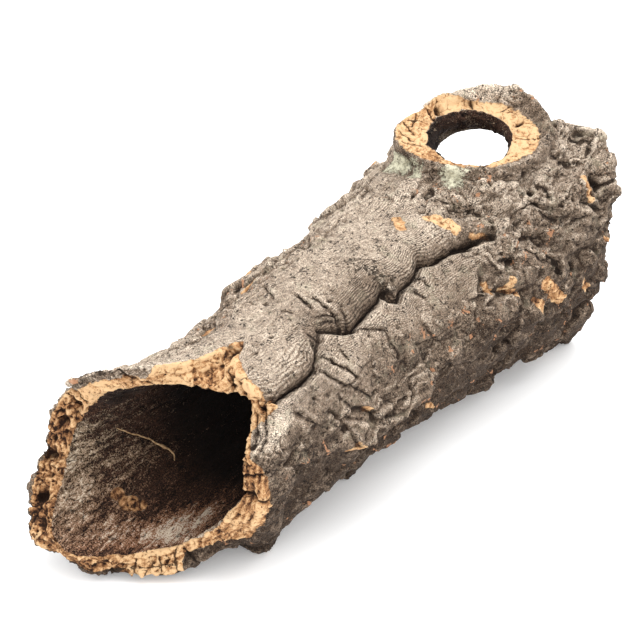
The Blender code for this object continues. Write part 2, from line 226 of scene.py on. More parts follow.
def stubCoords(points):
    # radius (1 at the rim of the cut), angle and height over the cut face
    width, depth, outward = stubAxes()
    local = points - np.array(stub["centre"], float)
    u = local @ width / stub["halfWidth"]
    v = local @ depth / stub["halfDepth"]
    return np.hypot(u, v), np.degrees(np.arctan2(v, u)) % 360, local @ outward


def newObject(name, bm):
    mesh = bpy.data.meshes.new(name)
    bmesh.ops.recalc_face_normals(bm, faces=bm.faces)
    bm.to_mesh(mesh)
    bm.free()
    obj = bpy.data.objects.new(name, mesh)
    bpy.context.scene.collection.objects.link(obj)
    return obj


def closedGrid(name, columns, rows, place):
    # a grid wrapped into a closed skin: place(turn, walk) gives points in mm
    bm = bmesh.new()
    bmesh.ops.create_grid(bm, x_segments=columns, y_segments=rows, size=0.5)
    grid = np.array([v.co for v in bm.verts]) + 0.5
    points = place(grid[:, 0] % 1.0 * (grid[:, 0] < 0.9999), grid[:, 1]) * mm
    for vert, point in zip(bm.verts, points):
        vert.co = point
    bmesh.ops.remove_doubles(bm, verts=bm.verts, dist=0.0001)
    return newObject(name, bm)


def polarPoints(y, degrees, radius):
    cx, cz = centreLine(y)
    angle = np.radians(degrees)
    return np.stack((cx + radius * np.cos(angle), y, cz + radius * np.sin(angle)), axis=1)


def tubePlace(turn, walk):
    # along the outside, across the far edge, back inside and across the mouth's edge
    outsideEnd, insideStart, insideEnd = 0.47, 0.5, 0.97
    degrees = turn * 360
    walk = np.where(walk > 0.9999, 0, walk)
    mouthOut = aroundRing(degrees, form["mouthOutside"])
    mouthIn = aroundRing(degrees, form["mouthInside"])
    far = aroundRing(degrees, form["farEdge"])
    back = far + (mouthIn - far) * (walk - insideStart) / (insideEnd - insideStart)
    y = np.where(walk < outsideEnd, mouthOut + (far - mouthOut) * walk / outsideEnd,
                 np.where(walk < insideStart, far, back))
    full = wallThickness(y, degrees)
    across = full * (walk - outsideEnd) / (insideStart - outsideEnd)
    wall = np.where(walk < outsideEnd, 0, np.where(walk < insideStart, across, full))
    closing = np.clip((walk - insideEnd) / (1 - insideEnd), 0, 1)
    y = np.where(closing > 0, mouthIn + (mouthOut - mouthIn) * closing, y)
    return polarPoints(y, degrees, outsideRadius(y, degrees) - wall * (1 - closing))


def turnedPlace(turn, walk, profile, shift, halfWidth, halfDepth):
    # an oval turned shape over the stub's cut face
    outline = np.array(profile, float)
    steps = np.hypot(np.diff(outline[:, 0]) * halfWidth, np.diff(outline[:, 1])) + 1
    walked = np.concatenate(((0,), np.cumsum(steps))) / steps.sum()
    angle = turn * 2 * math.pi
    lip = stub["lipHeight"] * hump(angleGap(turn * 360, stub["lipAngle"]), stub["lipSpread"])
    ring = curveThrough(walk, walked, outline[:, 0])
    height = curveThrough(walk, walked, outline[:, 1]) + lip * curveThrough(walk, walked, outline[:, 2])
    width, depth, outward = stubAxes()
    return (np.array(stub["centre"], float)
            + np.outer(ring * halfWidth * np.cos(angle), width)
            + np.outer(ring * halfDepth * np.sin(angle) + shift, depth)
            + np.outer(height, outward))


def stubPlace(turn, walk):
    return turnedPlace(turn, walk, stub["profile"], 0, stub["halfWidth"], stub["halfDepth"])


def borePlace(turn, walk):
    return turnedPlace(turn, walk, stub["boreProfile"], stub["holeShift"], stub["holeHalf"], stub["holeHalf"])


def plugPlace(turn, walk):
    # the tube's bore around the stub: out from the axis, along the wall and back to the axis
    out, back, clearance = 0.2, 0.8, 0.2
    length = stub["plugEnd"] - stub["plugStart"]
    degrees = turn * 360
    y = stub["plugStart"] + length * np.clip((walk - out) / (back - out), 0, 1)
    share = np.minimum(np.clip(walk / out, 0, 1), np.clip((1 - walk) / (1 - back), 0, 1))
    radius = (outsideRadius(y, degrees) - wallThickness(y, degrees) - clearance) * share
    return polarPoints(y, degrees, radius)


def bakeModifiers(obj):
    bpy.context.view_layer.update()
    shaped = bpy.data.meshes.new_from_object(obj.evaluated_get(bpy.context.evaluated_depsgraph_get()))
    obj.modifiers.clear()
    obj.data = shaped


def addBoolean(obj, other, operation):
    modifier = obj.modifiers.new(operation.lower(), "BOOLEAN")
    modifier.operation = operation
    modifier.solver = "EXACT"
    modifier.object = other


# The sculpted bark: where each feature lies, as (y, degrees) on the outside

sculpt = {
    "voxel": 1.15,
    "leastWall": 5.5,         # no crevice leaves less than this
    "triangles": 196000,
    # how freely faces are dropped, from the dark bore to the outside, and how much that counts
    "fewer": (1.0, 0.8, 0.6, 0.4), "fewerFactor": 0.0002,
    # y, degrees, share of the full depth
    "cleft": (
        (-190, 52, 0.9), (-174, 49, 1), (-157, 41, 1), (-132, 42, 1), (-119, 42, 0.9), (-111, 44, 0.7),
        (-98, 53, 0.35), (-88, 58, 0.3), (-74, 49, 0.5), (-66, 48, 0.8), (-49, 50, 1), (-30, 52, 1),
        (-21, 54, 0.9), (-25, 49, 1), (-18, 45, 0.7), (-5, 49, 0.8), (9, 49, 0.8), (23, 54, 0.9),
        (31, 50, 0.8), (50, 49, 1), (58, 49, 1.1), (68, 46, 1.2), (80, 44, 0.8), (88, 43, 0.3),
    ),
    "cleftDepth": 10, "roll": 5.4,
    "stepUp": 4.2, "stepReach": 24,      # the upper side stands higher and dies away over 24 mm
    "ridge": ((-165, 363), (-125, 358), (-92, 353), (-33, 356), (-2, 363), (23, 368), (40, 379), (62, 394)),
    "ridgeRise": 4.5, "ridgeDrop": 5,
    # both ends as (y, degrees), depth, half width
    "cracks": (
        ((-71, 82), (-76, 71), 4, 1.3), ((-67, 75), (-68, 67), 2.5, 1.2), ((-68, 67), (-71, 60), 3, 1.2),
        ((-71, 60), (-75, 51), 3, 1.2), ((-63, 60), (-70, 49), 2, 1.2), ((-69, 104), (-79, 94), 3, 1.6),
        ((-82, 65), (-70, 59), 2, 1.0), ((-84, 62), (-71, 56), 2, 1.0), ((-88, 60), (-76, 53), 2, 1.0),
        ((-99, 60), (-92, 54), 2, 1.2), ((-102, 55), (-105, 47), 3, 1.4), ((-90, 81), (-89, 76), 1.5, 1.0),
        ((-102, 47), (-96, 40), 2.5, 1.2), ((-96, 40), (-86, 27), 3, 1.3), ((-112, 43), (-102, 30), 2.6, 1.2),
        ((-102, 30), (-80, 13), 2.0, 1.1), ((-85, 43), (-85, 38), 2, 1.0), ((-105, 21), (-99, 14), 4, 2.0),
        ((-94, 11), (-81, 3), 5, 2.6), ((-46, 39), (-43, 21), 2, 1.1), ((-145, 29), (-137, 20), 3, 2.0),
        ((-68, 48), (-46, 39), 3, 1.3), ((-7, 48), (5, 39), 3, 1.4), ((10, 51), (15, 42), 3, 1.4),
        ((78, 77), (90, 71), 2.5, 1.3), ((88, 67), (96, 60), 6, 2.2), ((94, 59), (96, 55), 4, 2.0),
        ((115, 32), (134, 25), 8, 3.2), ((91, 27), (104, 31), 5, 1.8), ((84, 30), (95, 27), 4, 2.4),
        ((180, 30), (195, 23), 7, 2.4), ((216, 55), (219, 49), 3, 1.3), ((173, 56), (179, 51), 3.5, 1.8),
        ((184, 49), (196, 45), 4, 1.8), ((166, 25), (177, 25), 4, 1.8), ((148, 48), (151, 41), 4, 1.6),
        ((134, 45), (141, 41), 4, 1.8), ((140, 36), (147, 30), 3, 1.3), ((145, 61), (135, 63), 4, 1.6),
        ((133, 16), (141, 6), 5, 2.0), ((185, 344), (212, 342), 5, 2.0), ((43, 23), (60, 19), 3, 1.6),
        ((114, 26), (125, 16), 3, 1.4), ((-130, 330), (-60, 326), 4, 2.2), ((-40, 334), (40, 328), 4, 2.2),
        ((60, 150), (130, 146), 5, 2.4), ((-150, 170), (-70, 178), 5, 2.2), ((-30, 160), (50, 168), 5, 2.2),
        ((-120, 205), (-20, 212), 5, 2.4), ((30, 200), (150, 206), 6, 2.6), ((90, 240), (190, 232), 5, 2.4),
    ),
    # both ends as (y, degrees), height, half width
    "ledges": (
        ((-15, 61), (-22, 50), 2.5, 1.8), ((145, 60), (120, 51), 4, 5), ((120, 51), (94, 38), 4, 5),
        ((80, 46), (70, 34), 4, 4.5), ((80, 27), (88, 17), 5, 8), ((96, 70), (97, 66), 4, 3),
        ((127, 54), (116, 45), -5, 4), ((100, 9), (74, 17), -4, 4), ((150, 30), (176, 40), 3, 7),
        ((160, 14), (200, 12), 4, 6), ((120, 350), (170, 4), -4, 7), ((60, 5), (110, 352), 4, 6),
        ((227, 47), (212, 30), 7, 9), ((-242, 220), (-230, 202), 5, 10), ((-224, 188), (-216, 172), 3.5, 9),
    ),
    # stepped plates: size, seed, height of the step, depth of the crevice at its foot, share left out
    "cliffs": ((34, 17, 3.0, 1.4, -0.1),),
    # y, degrees, depth, radius
    "hollows": (
        (207, 60, 6, 11), (28, 128, 4.5, 20), (93, 63, 7, 9), (134, 24, 6, 10), (82, 14, 6, 9),
        (128, 338, 6, 12), (104, 46, 4, 8), (158, 38, 5, 9),
    ),
    # pits: y, degrees, depth, radius
    "pits": (
        (-143, 83, 5, 2.6), (-151, 81, 4, 2.2), (-180, 110, 3, 2.4), (-149, 112, 3, 2.4), (-64, 122, 4, 3.0),
        (-39, 113, 4, 2.6), (-116, 105, 3, 2.2), (-88, 94, 3, 2.0), (-15, 96, 3, 2.0), (-103, 354, 3, 3.0),
        (-22, 346, 3, 3.0), (-63, 67, 4, 1.8), (-61, 61, 3, 1.4), (-119, 72, 4, 1.8), (-139, 69, 2.5, 1.4),
        (-73, 12, 6, 2.6), (-128, 31, 3, 1.6), (-59, 40, 3, 1.5), (-33, 34, 3, 1.5), (68, 45, 3, 1.8),
        (96, 48, 4, 1.8), (92, 45, 3, 1.4), (88, 42, 4, 1.8), (117, 62, 3, 1.4), (112, 38, 5, 2.2),
        (116, 40, 3, 1.6), (150, 35, 4, 1.8), (157, 35, 3, 1.6), (140, 47, 4, 2.0), (200, 34, 6, 4.0),
        (217, 27, 5, 3.0), (215, 22, 5, 2.5), (162, 350, 8, 6.0), (80, 340, 5, 3.0), (35, 0, 4, 2.2),
        (79, 352, 4, 2.6), (95, 0, 5, 3.0),
    ),
    # x, y, radius, reach
    "feet": ((38, -151, 18, 24), (86, 198, 22, 18), (-24, 36, 20, 22)),
    "knobs": ((46, -46, 13, 16), (54, 112, 18, 16), (102, 220, 13, 16)),
    "knobClearance": 1.2,
    # noises: size in mm, octaves, seed, squeeze in Y
    "ragY": (7, 2, 530), "ragTurn": (7, 2, 560), "lumps": (34, 2), "plates": (24, 2, 300, 0.6),
    "grain": (46, 2, 11), "ripples": (12, 2, 0, 0.25), "crumbled": (11, 2, 700), "uneven": (14, 2, 500),
    "holeSlope": (6, 2, 940), "sideways": (15, 3, 860),
}

# The broken rim of the mouth: angle round the mouth in degrees, depth into the wall in mm
rim = {
    # how crumbly each stretch is
    "crumble": (
        (0, 0.5), (20, 0.6), (45, 0.5), (58, 0.5), (66, 0.2), (76, 0.7), (84, 0.5), (89, 0.1), (100, 0.35),
        (145, 0.4), (156, 1.0), (205, 1.0), (225, 0.7), (260, 0.5), (300, 0.5), (318, 0.1), (345, 0.1),
    ),
    # 0 dark brown to 1 pale tan
    "tone": (
        (0, 0.33), (12, 0.36), (22, 0.64), (35, 0.60), (48, 0.60), (60, 0.74), (68, 0.58), (80, 0.57),
        (90, 0.84), (98, 0.74), (112, 0.62), (122, 0.90), (130, 0.83), (140, 0.94), (150, 0.72), (158, 0.56),
        (168, 0.28), (180, 0.28), (190, 0.46), (203, 0.42), (212, 0.14), (220, 0.48), (226, 0.54),
        (231, 0.50), (240, 0.34), (258, 0.34), (266, 0.86), (284, 0.70), (291, 0.50), (303, 0.48),
        (316, 0.54), (328, 0.74), (340, 0.48), (353, 0.48),
    ),
    # where grey bark covers the outer part of the face: angle, depth that it reaches
    "greyDepth": (
        (0, -4), (10, 2), (20, 12), (33, 13), (40, -4), (58, -4), (92, -4), (99, 8), (138, 7), (150, 1),
        (200, 2), (220, 1), (256, 4), (264, -2), (284, -3), (290, 10), (304, 7), (316, -4),
    ),
    # angle, depth in the wall, depth of the hole, radius
    "holes": (
        (165, 5, 4, 1.9), (157, 10, 7, 3.0), (163, 13, 5, 2.0), (171, 9, 9, 3.4), (182, 6, 5, 2.0),
        (177, 13, 4, 1.8), (190, 7, 8, 4.0), (199, 11, 4, 2.0), (207, 8, 7, 3.0), (219, 10, 2.5, 1.8),
        (78, 2, 7, 3.0), (66, 5, 5, 2.4), (62, 9, 4, 2.0), (354, 6, 6, 2.4), (24, 11, 5, 2.6),
    ),
    # both ends as (angle, depth in the wall), depth, half width
    "cracks": (
        ((104, 0), (106, 9), 4, 1.4), ((106, 7), (101, 14), 3, 1.1), ((60, 2), (54, 13), 4, 1.5),
        ((66, 6), (60, 12), 3, 1.1), ((70, 4), (63, 8), 3, 1.1), ((46, 5), (22, 6), 5, 1.8),
        ((40, 11), (26, 10), 3, 1.4), ((268, 0), (267, 12), 1.6, 0.9), ((272, 0), (274, 9), 1.2, 0.8),
        ((278, 2), (277, 12), 1.4, 0.8), ((284, 0), (285, 14), 2.2, 1.1), ((266, 6), (285, 5), 1.2, 0.8),
        ((292, 0), (290, 12), 3.5, 1.4), ((330, 0), (322, 12), 2, 0.9), ((345, 2), (333, 4), 2, 0.9),
        ((353, 0), (351, 15), 4, 1.6), ((8, 0), (5, 15), 2.5, 1.2), ((148, 2), (152, 13), 2.5, 1.2),
    ),
    "spacing": 4.2,      # mm between the growth layers seen in the break
    "farTone": 0.30,     # the far end's break is dark
}

# The sawn face round the branch opening, by angle round it (0 to the right, 90 at the back)
cutFaceLook = {
    "edge": (
        (0, 0.90), (25, 0.86), (60, 0.84), (85, 0.88), (110, 1.02), (180, 1.06), (225, 1.02), (270, 1.0),
        (320, 1.0),
    ),
    "tone": (
        (0, 0.90), (30, 0.92), (60, 0.98), (84, 0.94), (105, 1.02), (120, 0.94), (130, 0.66), (145, 0.68),
        (160, 0.70), (180, 0.80), (205, 0.78), (225, 0.64), (270, 0.72), (320, 0.88),
    ),
    # both ends as (angle, share of the face's radius), depth, half width
    "cracks": (
        ((128, 0.74), (125, 0.86), 6, 2.6), ((86, 0.7), (88, 1.05), 3, 1.3),
        ((144, 0.66), (136, 0.98), 2, 1.0), ((150, 0.98), (172, 0.86), 1.6, 0.8),
        ((166, 1.0), (186, 0.84), 1.6, 0.8), ((180, 1.02), (200, 0.84), 1.6, 0.8),
        ((158, 0.8), (162, 0.96), 1.2, 0.8), ((196, 1.0), (210, 0.84), 1.4, 0.8),
        ((18, 0.76), (22, 0.82), 4, 1.5), ((345, 0.74), (352, 0.95), 1.2, 0.7),
        ((50, 0.76), (46, 0.9), 1.2, 0.7),
    ),
}

# Bare cork where flakes have broken off: both ends as (y, degrees), half width in mm, tone
barePatches = (
    ((44, 80), (38, 75), 4.4, 0.62), ((61, 69), (66, 57), 5.0, 0.84), ((74, 50), (86, 44), 1.6, 0.46),
    ((189, 37), (189, 30), 3.6, 0.52), ((87, 20), (86, 17), 3.0, 0.66), ((-43, 132), (-34, 138), 3.0, 0.58),
    ((124, 5), (134, 357), 5.0, 0.48), ((134, 357), (150, 349), 4.0, 0.50),
    ((112, 359), (122, 352), 4.0, 0.46), ((-103, 354), (-98, 352), 3.0, 0.55),
    ((-87, 8), (-84, 7), 2.6, 0.60), ((-22, 346), (-16, 345), 3.0, 0.55), ((66, 24), (69, 18), 2.6, 0.56),
    ((-2, 335), (2, 332), 3.0, 0.5), ((-106, 351), (-103, 349), 2.4, 0.6), ((96, 8), (80, 16), 2.0, 0.66),
    ((205, 8), (212, 2), 3.0, 0.55), ((-150, 84), (-140, 82), 3.0, 0.66),
    ((-64, 124), (-56, 121), 3.0, 0.62), ((-20, 118), (-14, 116), 3.0, 0.60),
    ((-118, 122), (-108, 124), 3.0, 0.55), ((175, 352), (183, 346), 3.4, 0.52),
    ((60, 205), (75, 200), 5.0, 0.55), ((-60, 232), (-48, 238), 5.0, 0.52),
    ((150, 150), (165, 146), 6.0, 0.56), ((-120, 170), (-112, 166), 5.0, 0.55),
)

# Lichen: both ends as (y, degrees), half width in mm
lichenPatches = (
    ((118, 117), (112, 105), 6.5), ((119, 88), (119, 77), 8), ((110, 80), (106, 76), 6),
    ((103, 97), (100, 93), 3.5), ((124, 93), (121, 90), 4),
)

# Dust on the inner wall: y, degrees, length, width in mm, amount
dustPatches = (
    (-216, 202, 34, 44, 0.70), (-192, 176, 22, 26, 0.22), (-172, 206, 24, 22, 0.14),
    (-228, 226, 22, 26, 0.36), (-216, 262, 12, 44, 0.40), (-198, 293, 12, 34, 0.95),
    (-186, 318, 14, 28, 1.15), (-184, 264, 30, 18, 0.80), (-160, 270, 30, 16, 0.80),
    (-196, 240, 14, 16, 0.34), (-190, 140, 26, 30, -0.5), (200, 90, 50, 200, 0.15),
)
# Patches of clean cork inside: y, degrees, radius
innerCork = ((-192, 223, 5), (-190, 232, 7), (-186, 236, 5))
innerCorkTone = 0.42


def segmentGap(u, v, run):
    # distance from a short line that starts at the origin, the side (+1 or -1) and the share along it
    t = np.clip((u * run[0] + v * run[1]) / (run[0] ** 2 + run[1] ** 2), 0, 1)
    gap = np.hypot(u - t * run[0], v - t * run[1])
    return gap, np.where(run[0] * v > run[1] * u, 1.0, -1.0), t


def lineGap(y, degrees, start, finish):
    # mm from a short line between two (y, degrees) places, and the side
    arc = form["arc"]
    run = (finish[0] - start[0], angleGap(finish[1], start[1]) * arc)
    return segmentGap(y - start[0], angleGap(degrees, start[1]) * arc, run)[:2]


def pathGap(y, degrees, path):
    # mm from a broken line of (y, degrees, value), the side it lies on (+1 above) and the nearest value
    arc = form["arc"]
    gap = np.full_like(y, 1e9)
    side = np.ones_like(y)
    value = np.zeros_like(y)
    for (y0, a0, v0), (y1, a1, v1) in zip(path[:-1], path[1:]):
        run = (y1 - y0, angleGap(a1, a0) * arc)
        here, onSide, t = segmentGap(y - y0, angleGap(degrees, a0) * arc, run)
        nearer = here < gap
        gap = np.where(nearer, here, gap)
        side = np.where(nearer, onSide, side)
        value = np.where(nearer, v0 + (v1 - v0) * t, value)
    return gap, side, value


def addLine(lines, gap, side, halfWidth, strength, where=1.0):
    # keeps the nearest crack: signed distance in half widths, and how dark it is
    nearer = (gap / halfWidth < np.abs(lines["across"])) & (np.asarray(where) > 0.3)
    lines["across"] = np.where(nearer, side * gap / halfWidth, lines["across"])
    lines["dark"] = np.where(nearer, strength, lines["dark"])


def cleftRelief(y, degrees):
    # a narrow crevice; its upper side stands higher and rolls over into it
    gap, side, share = pathGap(y, degrees, sculpt["cleft"])
    upper = side > 0
    depth = sculpt["cleftDepth"] * share
    step = sculpt["stepUp"] * np.exp(-(gap / sculpt["stepReach"]) ** 1.5)
    rolled = step - (depth + step) * hump(gap, sculpt["roll"])
    relief = np.where(upper, rolled, 1.2 * hump(gap - 6, 4) - depth * hump(gap, 2.3))
    return relief, gap * side, share


def barkRelief(at):
    # the broad relief that the solid has too
    points, y, degrees = at.points, at.y, at.degrees
    arc = form["arc"]
    raggedY = y + rough(points, *sculpt["ragY"]) * 1.3
    raggedDegrees = degrees + rough(points, *sculpt["ragTurn"]) * 1.3 / arc
    relief, across, along = cleftRelief(raggedY, raggedDegrees)
    below = angleGap(degrees, alongLine(y, sculpt["ridge"])) * arc
    ridgeAlong = fade(y, -170, -140) * (1 - fade(y, 50, 76))
    relief += sculpt["ridgeRise"] * hump(below, 7) * ridgeAlong
    relief -= sculpt["ridgeDrop"] * fade(-below, 2, 11) * (1 - fade(-below, 24, 48)) * ridgeAlong
    lines = {"across": np.full_like(y, 9.0), "dark": np.zeros_like(y)}
    addLine(lines, np.abs(across - 0.6), np.sign(across - 0.6), 2.0, np.minimum(along * 1.3, 1))
    for start, finish, depth, halfWidth in sculpt["cracks"]:
        gap, side = lineGap(raggedY, raggedDegrees, start, finish)
        relief -= 0.65 * depth * hump(gap, halfWidth * 1.15)
        relief += 0.25 * depth * side * hump(gap - halfWidth * 1.2, halfWidth)
        addLine(lines, gap, side, halfWidth * 0.5, min(0.7, 0.35 + depth / 12))
    for start, finish, height, halfWidth in sculpt["ledges"]:
        relief += height * hump(lineGap(raggedY, raggedDegrees, start, finish)[0], halfWidth)
    for hollowY, hollowAngle, depth, radius in sculpt["hollows"]:
        gap = np.hypot(raggedY - hollowY, angleGap(raggedDegrees, hollowAngle) * arc)
        relief -= depth * hump(gap, radius)
    smoothTop = fade(degrees, 14, 40) * (1 - fade(degrees, 92, 116)) * (1 - fade(y, 40, 90))
    farPart = fade(y, 50, 120)
    lumps = rough(points, *sculpt["lumps"])
    plates = terrace(rough(points, *sculpt["plates"]) * 2.6) + 0.4
    relief += lumps * (1.0 + 2.4 * (1 - smoothTop) + 2.4 * farPart)
    relief += plates * (1 - smoothTop) * (1.3 + 1.2 * farPart)
    # growth lines lie along the tube, bend round the lumps and follow the cleft's edge
    byCleft = hump(across, 24) * np.minimum(along * 1.5, 1)
    grain = angleGap(degrees, 50) * arc + rough(points, *sculpt["grain"]) * 9 + lumps * 3
    at.grain = grain * (1 - byCleft) + across * byCleft
    at.smoothTop, at.farPart, at.across, at.along = smoothTop, farPart, across, along
    at.lines, at.raggedY, at.raggedDegrees = lines, raggedY, raggedDegrees
    return relief


def chips(points, size, shift):
    # broken flat chips: each cell has its own height and tilt, about -1 to 1
    scaled = (points + shift) / size
    heights = []
    for p in scaled.tolist():
        m = noise.voronoi(p)[1][0]
        lift = noise.cell_vector(m * 7.31 + Vector((3.7, 1.9, 8.3)))
        tilt = noise.cell_vector(m * 5.17 + Vector((9.1, 4.3, 2.7)))
        offset = Vector(p) - m
        heights.append(lift.x - 0.5 + (tilt - Vector((0.5, 0.5, 0.5))).dot(offset) * 2.2)
    return np.array(heights) * 1.3


def meshPoints(mesh):
    points = np.empty(len(mesh.vertices) * 3)
    mesh.vertices.foreach_get("co", points)
    normals = np.empty(len(mesh.vertices) * 3)
    mesh.vertex_normals.foreach_get("vector", normals)
    return points.reshape(-1, 3) / mm, normals.reshape(-1, 3)


def setPoints(mesh, points):
    mesh.vertices.foreach_set("co", (points * mm).ravel())
    mesh.update()


def setAttribute(mesh, name, values):
    attribute = mesh.attributes.new(name, "FLOAT", "POINT")
    attribute.data.foreach_set("value", np.asarray(values, np.float32))


def smoothed(field, edges, rounds):
    # mean with the neighbours, repeated
    count = len(field)
    a, b = edges[:, 0], edges[:, 1]
    degree = np.bincount(a, minlength=count) + np.bincount(b, minlength=count)
    for _ in range(rounds):
        total = np.bincount(a, field[b], count) + np.bincount(b, field[a], count)
        field = 0.5 * field + 0.5 * total / degree
    return field


def hollowness(mesh, edges, rounds):
    # mm that each point lies below its surroundings, negative on bumps
    points, normals = meshPoints(mesh)
    mean = np.stack([smoothed(points[:, k], edges, rounds) for k in range(3)], axis=1)
    return ((mean - points) * normals).sum(axis=1)


# Broken bits of several sizes, which rough up every surface
detail = {
    # size in mm and seed of each kind
    "slabs": (26, 90), "shards": (14, 150), "flakes": (8, 210), "crumbs": (4, 330), "holeCells": (9, 20),
    # how high they stand in mm on rough bark, and how much higher the slabs do on its left side
    "slabRise": 1.8, "leftSlabRise": 1.2, "shardRise": 1.0,
    # height on calm bark, and how much more on crumbly bark
    "onBark": (("flakes", 0.12, 0.40), ("crumbs", 0.08, 0.16), ("grit", 0.10, 0.16)),
    "onRim": (("slabs", 1.1), ("flakes", 1.7), ("crumbs", 1.0), ("grit", 0.9)),
    "onFarEdge": (("slabs", 1.0), ("grit", 1.0), ("flakes", 1.4), ("crumbs", 0.8)),
    "onCutFace": (("grit", 0.5), ("crumbs", 0.45), ("flakes", 0.5)),
    "inBranchHole": (("crumbs", 0.6), ("grit", 0.6)),
    # share of the cells that have a hole, how deep it is and its radius, on the bark and on the rim
    "barkHoles": (0.16, 3.6, 1.5), "rimHoles": (0.20, 4.5, 2.0),
    "spikeLeft": 0.8,         # a spike is cut back to this height in mm
    # noises: size in mm, octaves, seed, squeeze in Y
    "grit": (3.6, 3, 60), "calm": (34, 2, 610, 0.5), "steps": (8, 2, 33, 0.2), "fibres": (3.5, 2, 71, 0.25),
}


def bitsOf(at, parts):
    return sum(getattr(at, kind) * amount for kind, amount in parts)


def baseTube():
    print("tube: base form")
    tube = closedGrid("cork_bark", 96, 150, tubePlace)
    stubSolid = closedGrid("stubSolid", 64, 48, stubPlace)
    cutters = (closedGrid("tubeBore", 64, 80, plugPlace), closedGrid("branchBore", 48, 40, borePlace))
    addBoolean(tube, stubSolid, "UNION")
    bakeModifiers(tube)
    for cutter in cutters:
        addBoolean(tube, cutter, "DIFFERENCE")
    even = tube.modifiers.new("evenSkin", "REMESH")
    even.mode = "VOXEL"
    even.voxel_size = sculpt["voxel"] * mm
    bakeModifiers(tube)
    for helper in (stubSolid,) + cutters:
        bpy.data.objects.remove(helper, do_unlink=True)
    return tube


def placesOn(points):
    # where each point of the skin lies, and how much it belongs to each surface, 0 to 1
    at = SimpleNamespace(points=points)
    at.y, at.degrees, at.depth = tubeCoords(points)
    at.ring, at.turn, at.height = stubCoords(points)
    wall = form["wall"]
    at.cutEdge = aroundRing(at.turn, cutFaceLook["edge"])
    at.outside = 1 - fade(at.depth, 3, 9)
    at.inside = fade(at.depth, wall - 6, wall - 2)
    at.cutFace = (1 - fade(at.ring, at.cutEdge - 0.04, at.cutEdge + 0.05)) * fade(at.height, -6, -2)
    at.bore = (1 - fade(at.ring, 0.72, 0.8)) * fade(at.height, -60, -40) * (1 - fade(at.height, -4, 0))
    at.skin = at.outside * (1 - at.cutFace) * (1 - at.bore)
    at.mouthOut = aroundRing(at.degrees, form["mouthOutside"])
    mouthIn = aroundRing(at.degrees, form["mouthInside"])
    at.rimGap = at.y - at.mouthOut - (mouthIn - at.mouthOut) * np.clip(at.depth / wall, 0, 1)
    at.rimFace = 1 - fade(np.abs(at.rimGap), 2, 7)
    at.farGap = aroundRing(at.degrees, form["farEdge"]) - at.y
    at.farFace = 1 - fade(np.abs(at.farGap), 2, 7)
    at.stubLeft = hump(angleGap(at.turn, 180), 55) * (1 - fade(at.ring, 1.3, 1.6)) * fade(at.height, -45, -20)
    at.thinLip = (1 - fade(at.ring, 1.15, 1.3)) * fade(at.height, -9, -2)
    at.deepest = sculpt["leastWall"] - wallThickness(at.y, at.degrees)
    return at


def broadForm(at, normals):
    # the points moved by the broad relief; none in a valley or on the stub's thin lip folds over
    points = at.points
    stubBark = 1 - 0.6 * fade(-at.depth, 6, 14) * (1 - fade(at.ring, 1.2, 1.4))
    relief = barkRelief(at)
    bark = np.maximum(relief * stubBark * (1 - at.stubLeft) - 4 * at.stubLeft, at.deepest) * at.skin
    bark *= (1 - 0.75 * at.valley) * np.where(bark < 0, 1 - 0.85 * at.thinLip, 1)
    at.bark = bark
    ripples = rough(points, *sculpt["ripples"]) * 1.3 * at.inside
    crumbled = rough(points, *sculpt["crumbled"]) * 1.8 * (1 - at.outside) * (1 - at.inside)
    uneven = rough(points, *sculpt["uneven"])
    narrowing = stub["leftNarrowing"] * fade(-at.height, 1, 14) * hump(angleGap(at.turn, 200), 50)
    # the face slopes down into the hole
    width, deep, _ = stubAxes()
    local = points - np.array(stub["centre"], float)
    at.holeGap = np.hypot(local @ width, local @ deep - stub["holeShift"]) - stub["holeHalf"]
    at.slopeWidth = aroundRing(at.turn, stub["slope"]) * (1 + 0.5 * rough(points, *sculpt["holeSlope"]))
    slope = (1 - fade(at.holeGap, 0, at.slopeWidth)) * at.cutFace
    holeRelief = uneven * (1.4 * at.cutFace + 2.2 * at.bore) + narrowing * at.bore
    holeRelief -= 0.6 * at.slopeWidth * slope
    moved = points + normals * (bark + ripples + crumbled + holeRelief)[:, None]
    for footX, footY, radius, reach in sculpt["feet"] + sculpt["knobs"]:
        gap = np.hypot(moved[:, 0] - footX, moved[:, 1] - footY)
        under = (at.depth < 6) & (moved[:, 2] < 40)
        moved[:, 2] -= np.where(under, reach * hump(gap, radius), 0)
    # the stub's outline isn't round
    sideways = rough(points, *sculpt["sideways"]) * 2.0 * (1 - fade(at.ring, 1.25, 1.5))
    sideways *= fade(at.height, -34, -12)
    outline = aroundRing(at.turn, stub["outline"]) * fade(at.ring, 0.7, 0.95) * (1 - fade(at.ring, 1.3, 1.6))
    sideways += outline * fade(at.height, -30, -8)
    turned = np.radians(at.turn)
    moved += sideways[:, None] * (np.outer(np.cos(turned), width) + np.outer(np.sin(turned), deep))
    return moved


def breakUp(at):
    # the noises and the broken bits that the fine relief is made of
    points = at.points
    at.rugged = np.clip(1 - at.smoothTop + at.farPart, 0, 1)
    at.warp = np.stack([rough(points, 21, 2, 40 * k) * 5 + rough(points, 5, 2, 300 + 40 * k) * 0.9
                        for k in (1, 2, 3)], axis=1)
    warped = (points + at.warp) * np.array((1, 0.6, 1))
    for kind in ("slabs", "shards", "flakes", "crumbs"):
        setattr(at, kind, chips(warped, *detail[kind]))
    at.grit = rough(points, *detail["grit"])
    at.near, at.number = cells(points + at.warp, *detail["holeCells"])
    calm = fade(rough(points, *detail["calm"]), -0.16, 0.16)
    at.crumbly = at.rugged * (1 - 0.85 * calm)


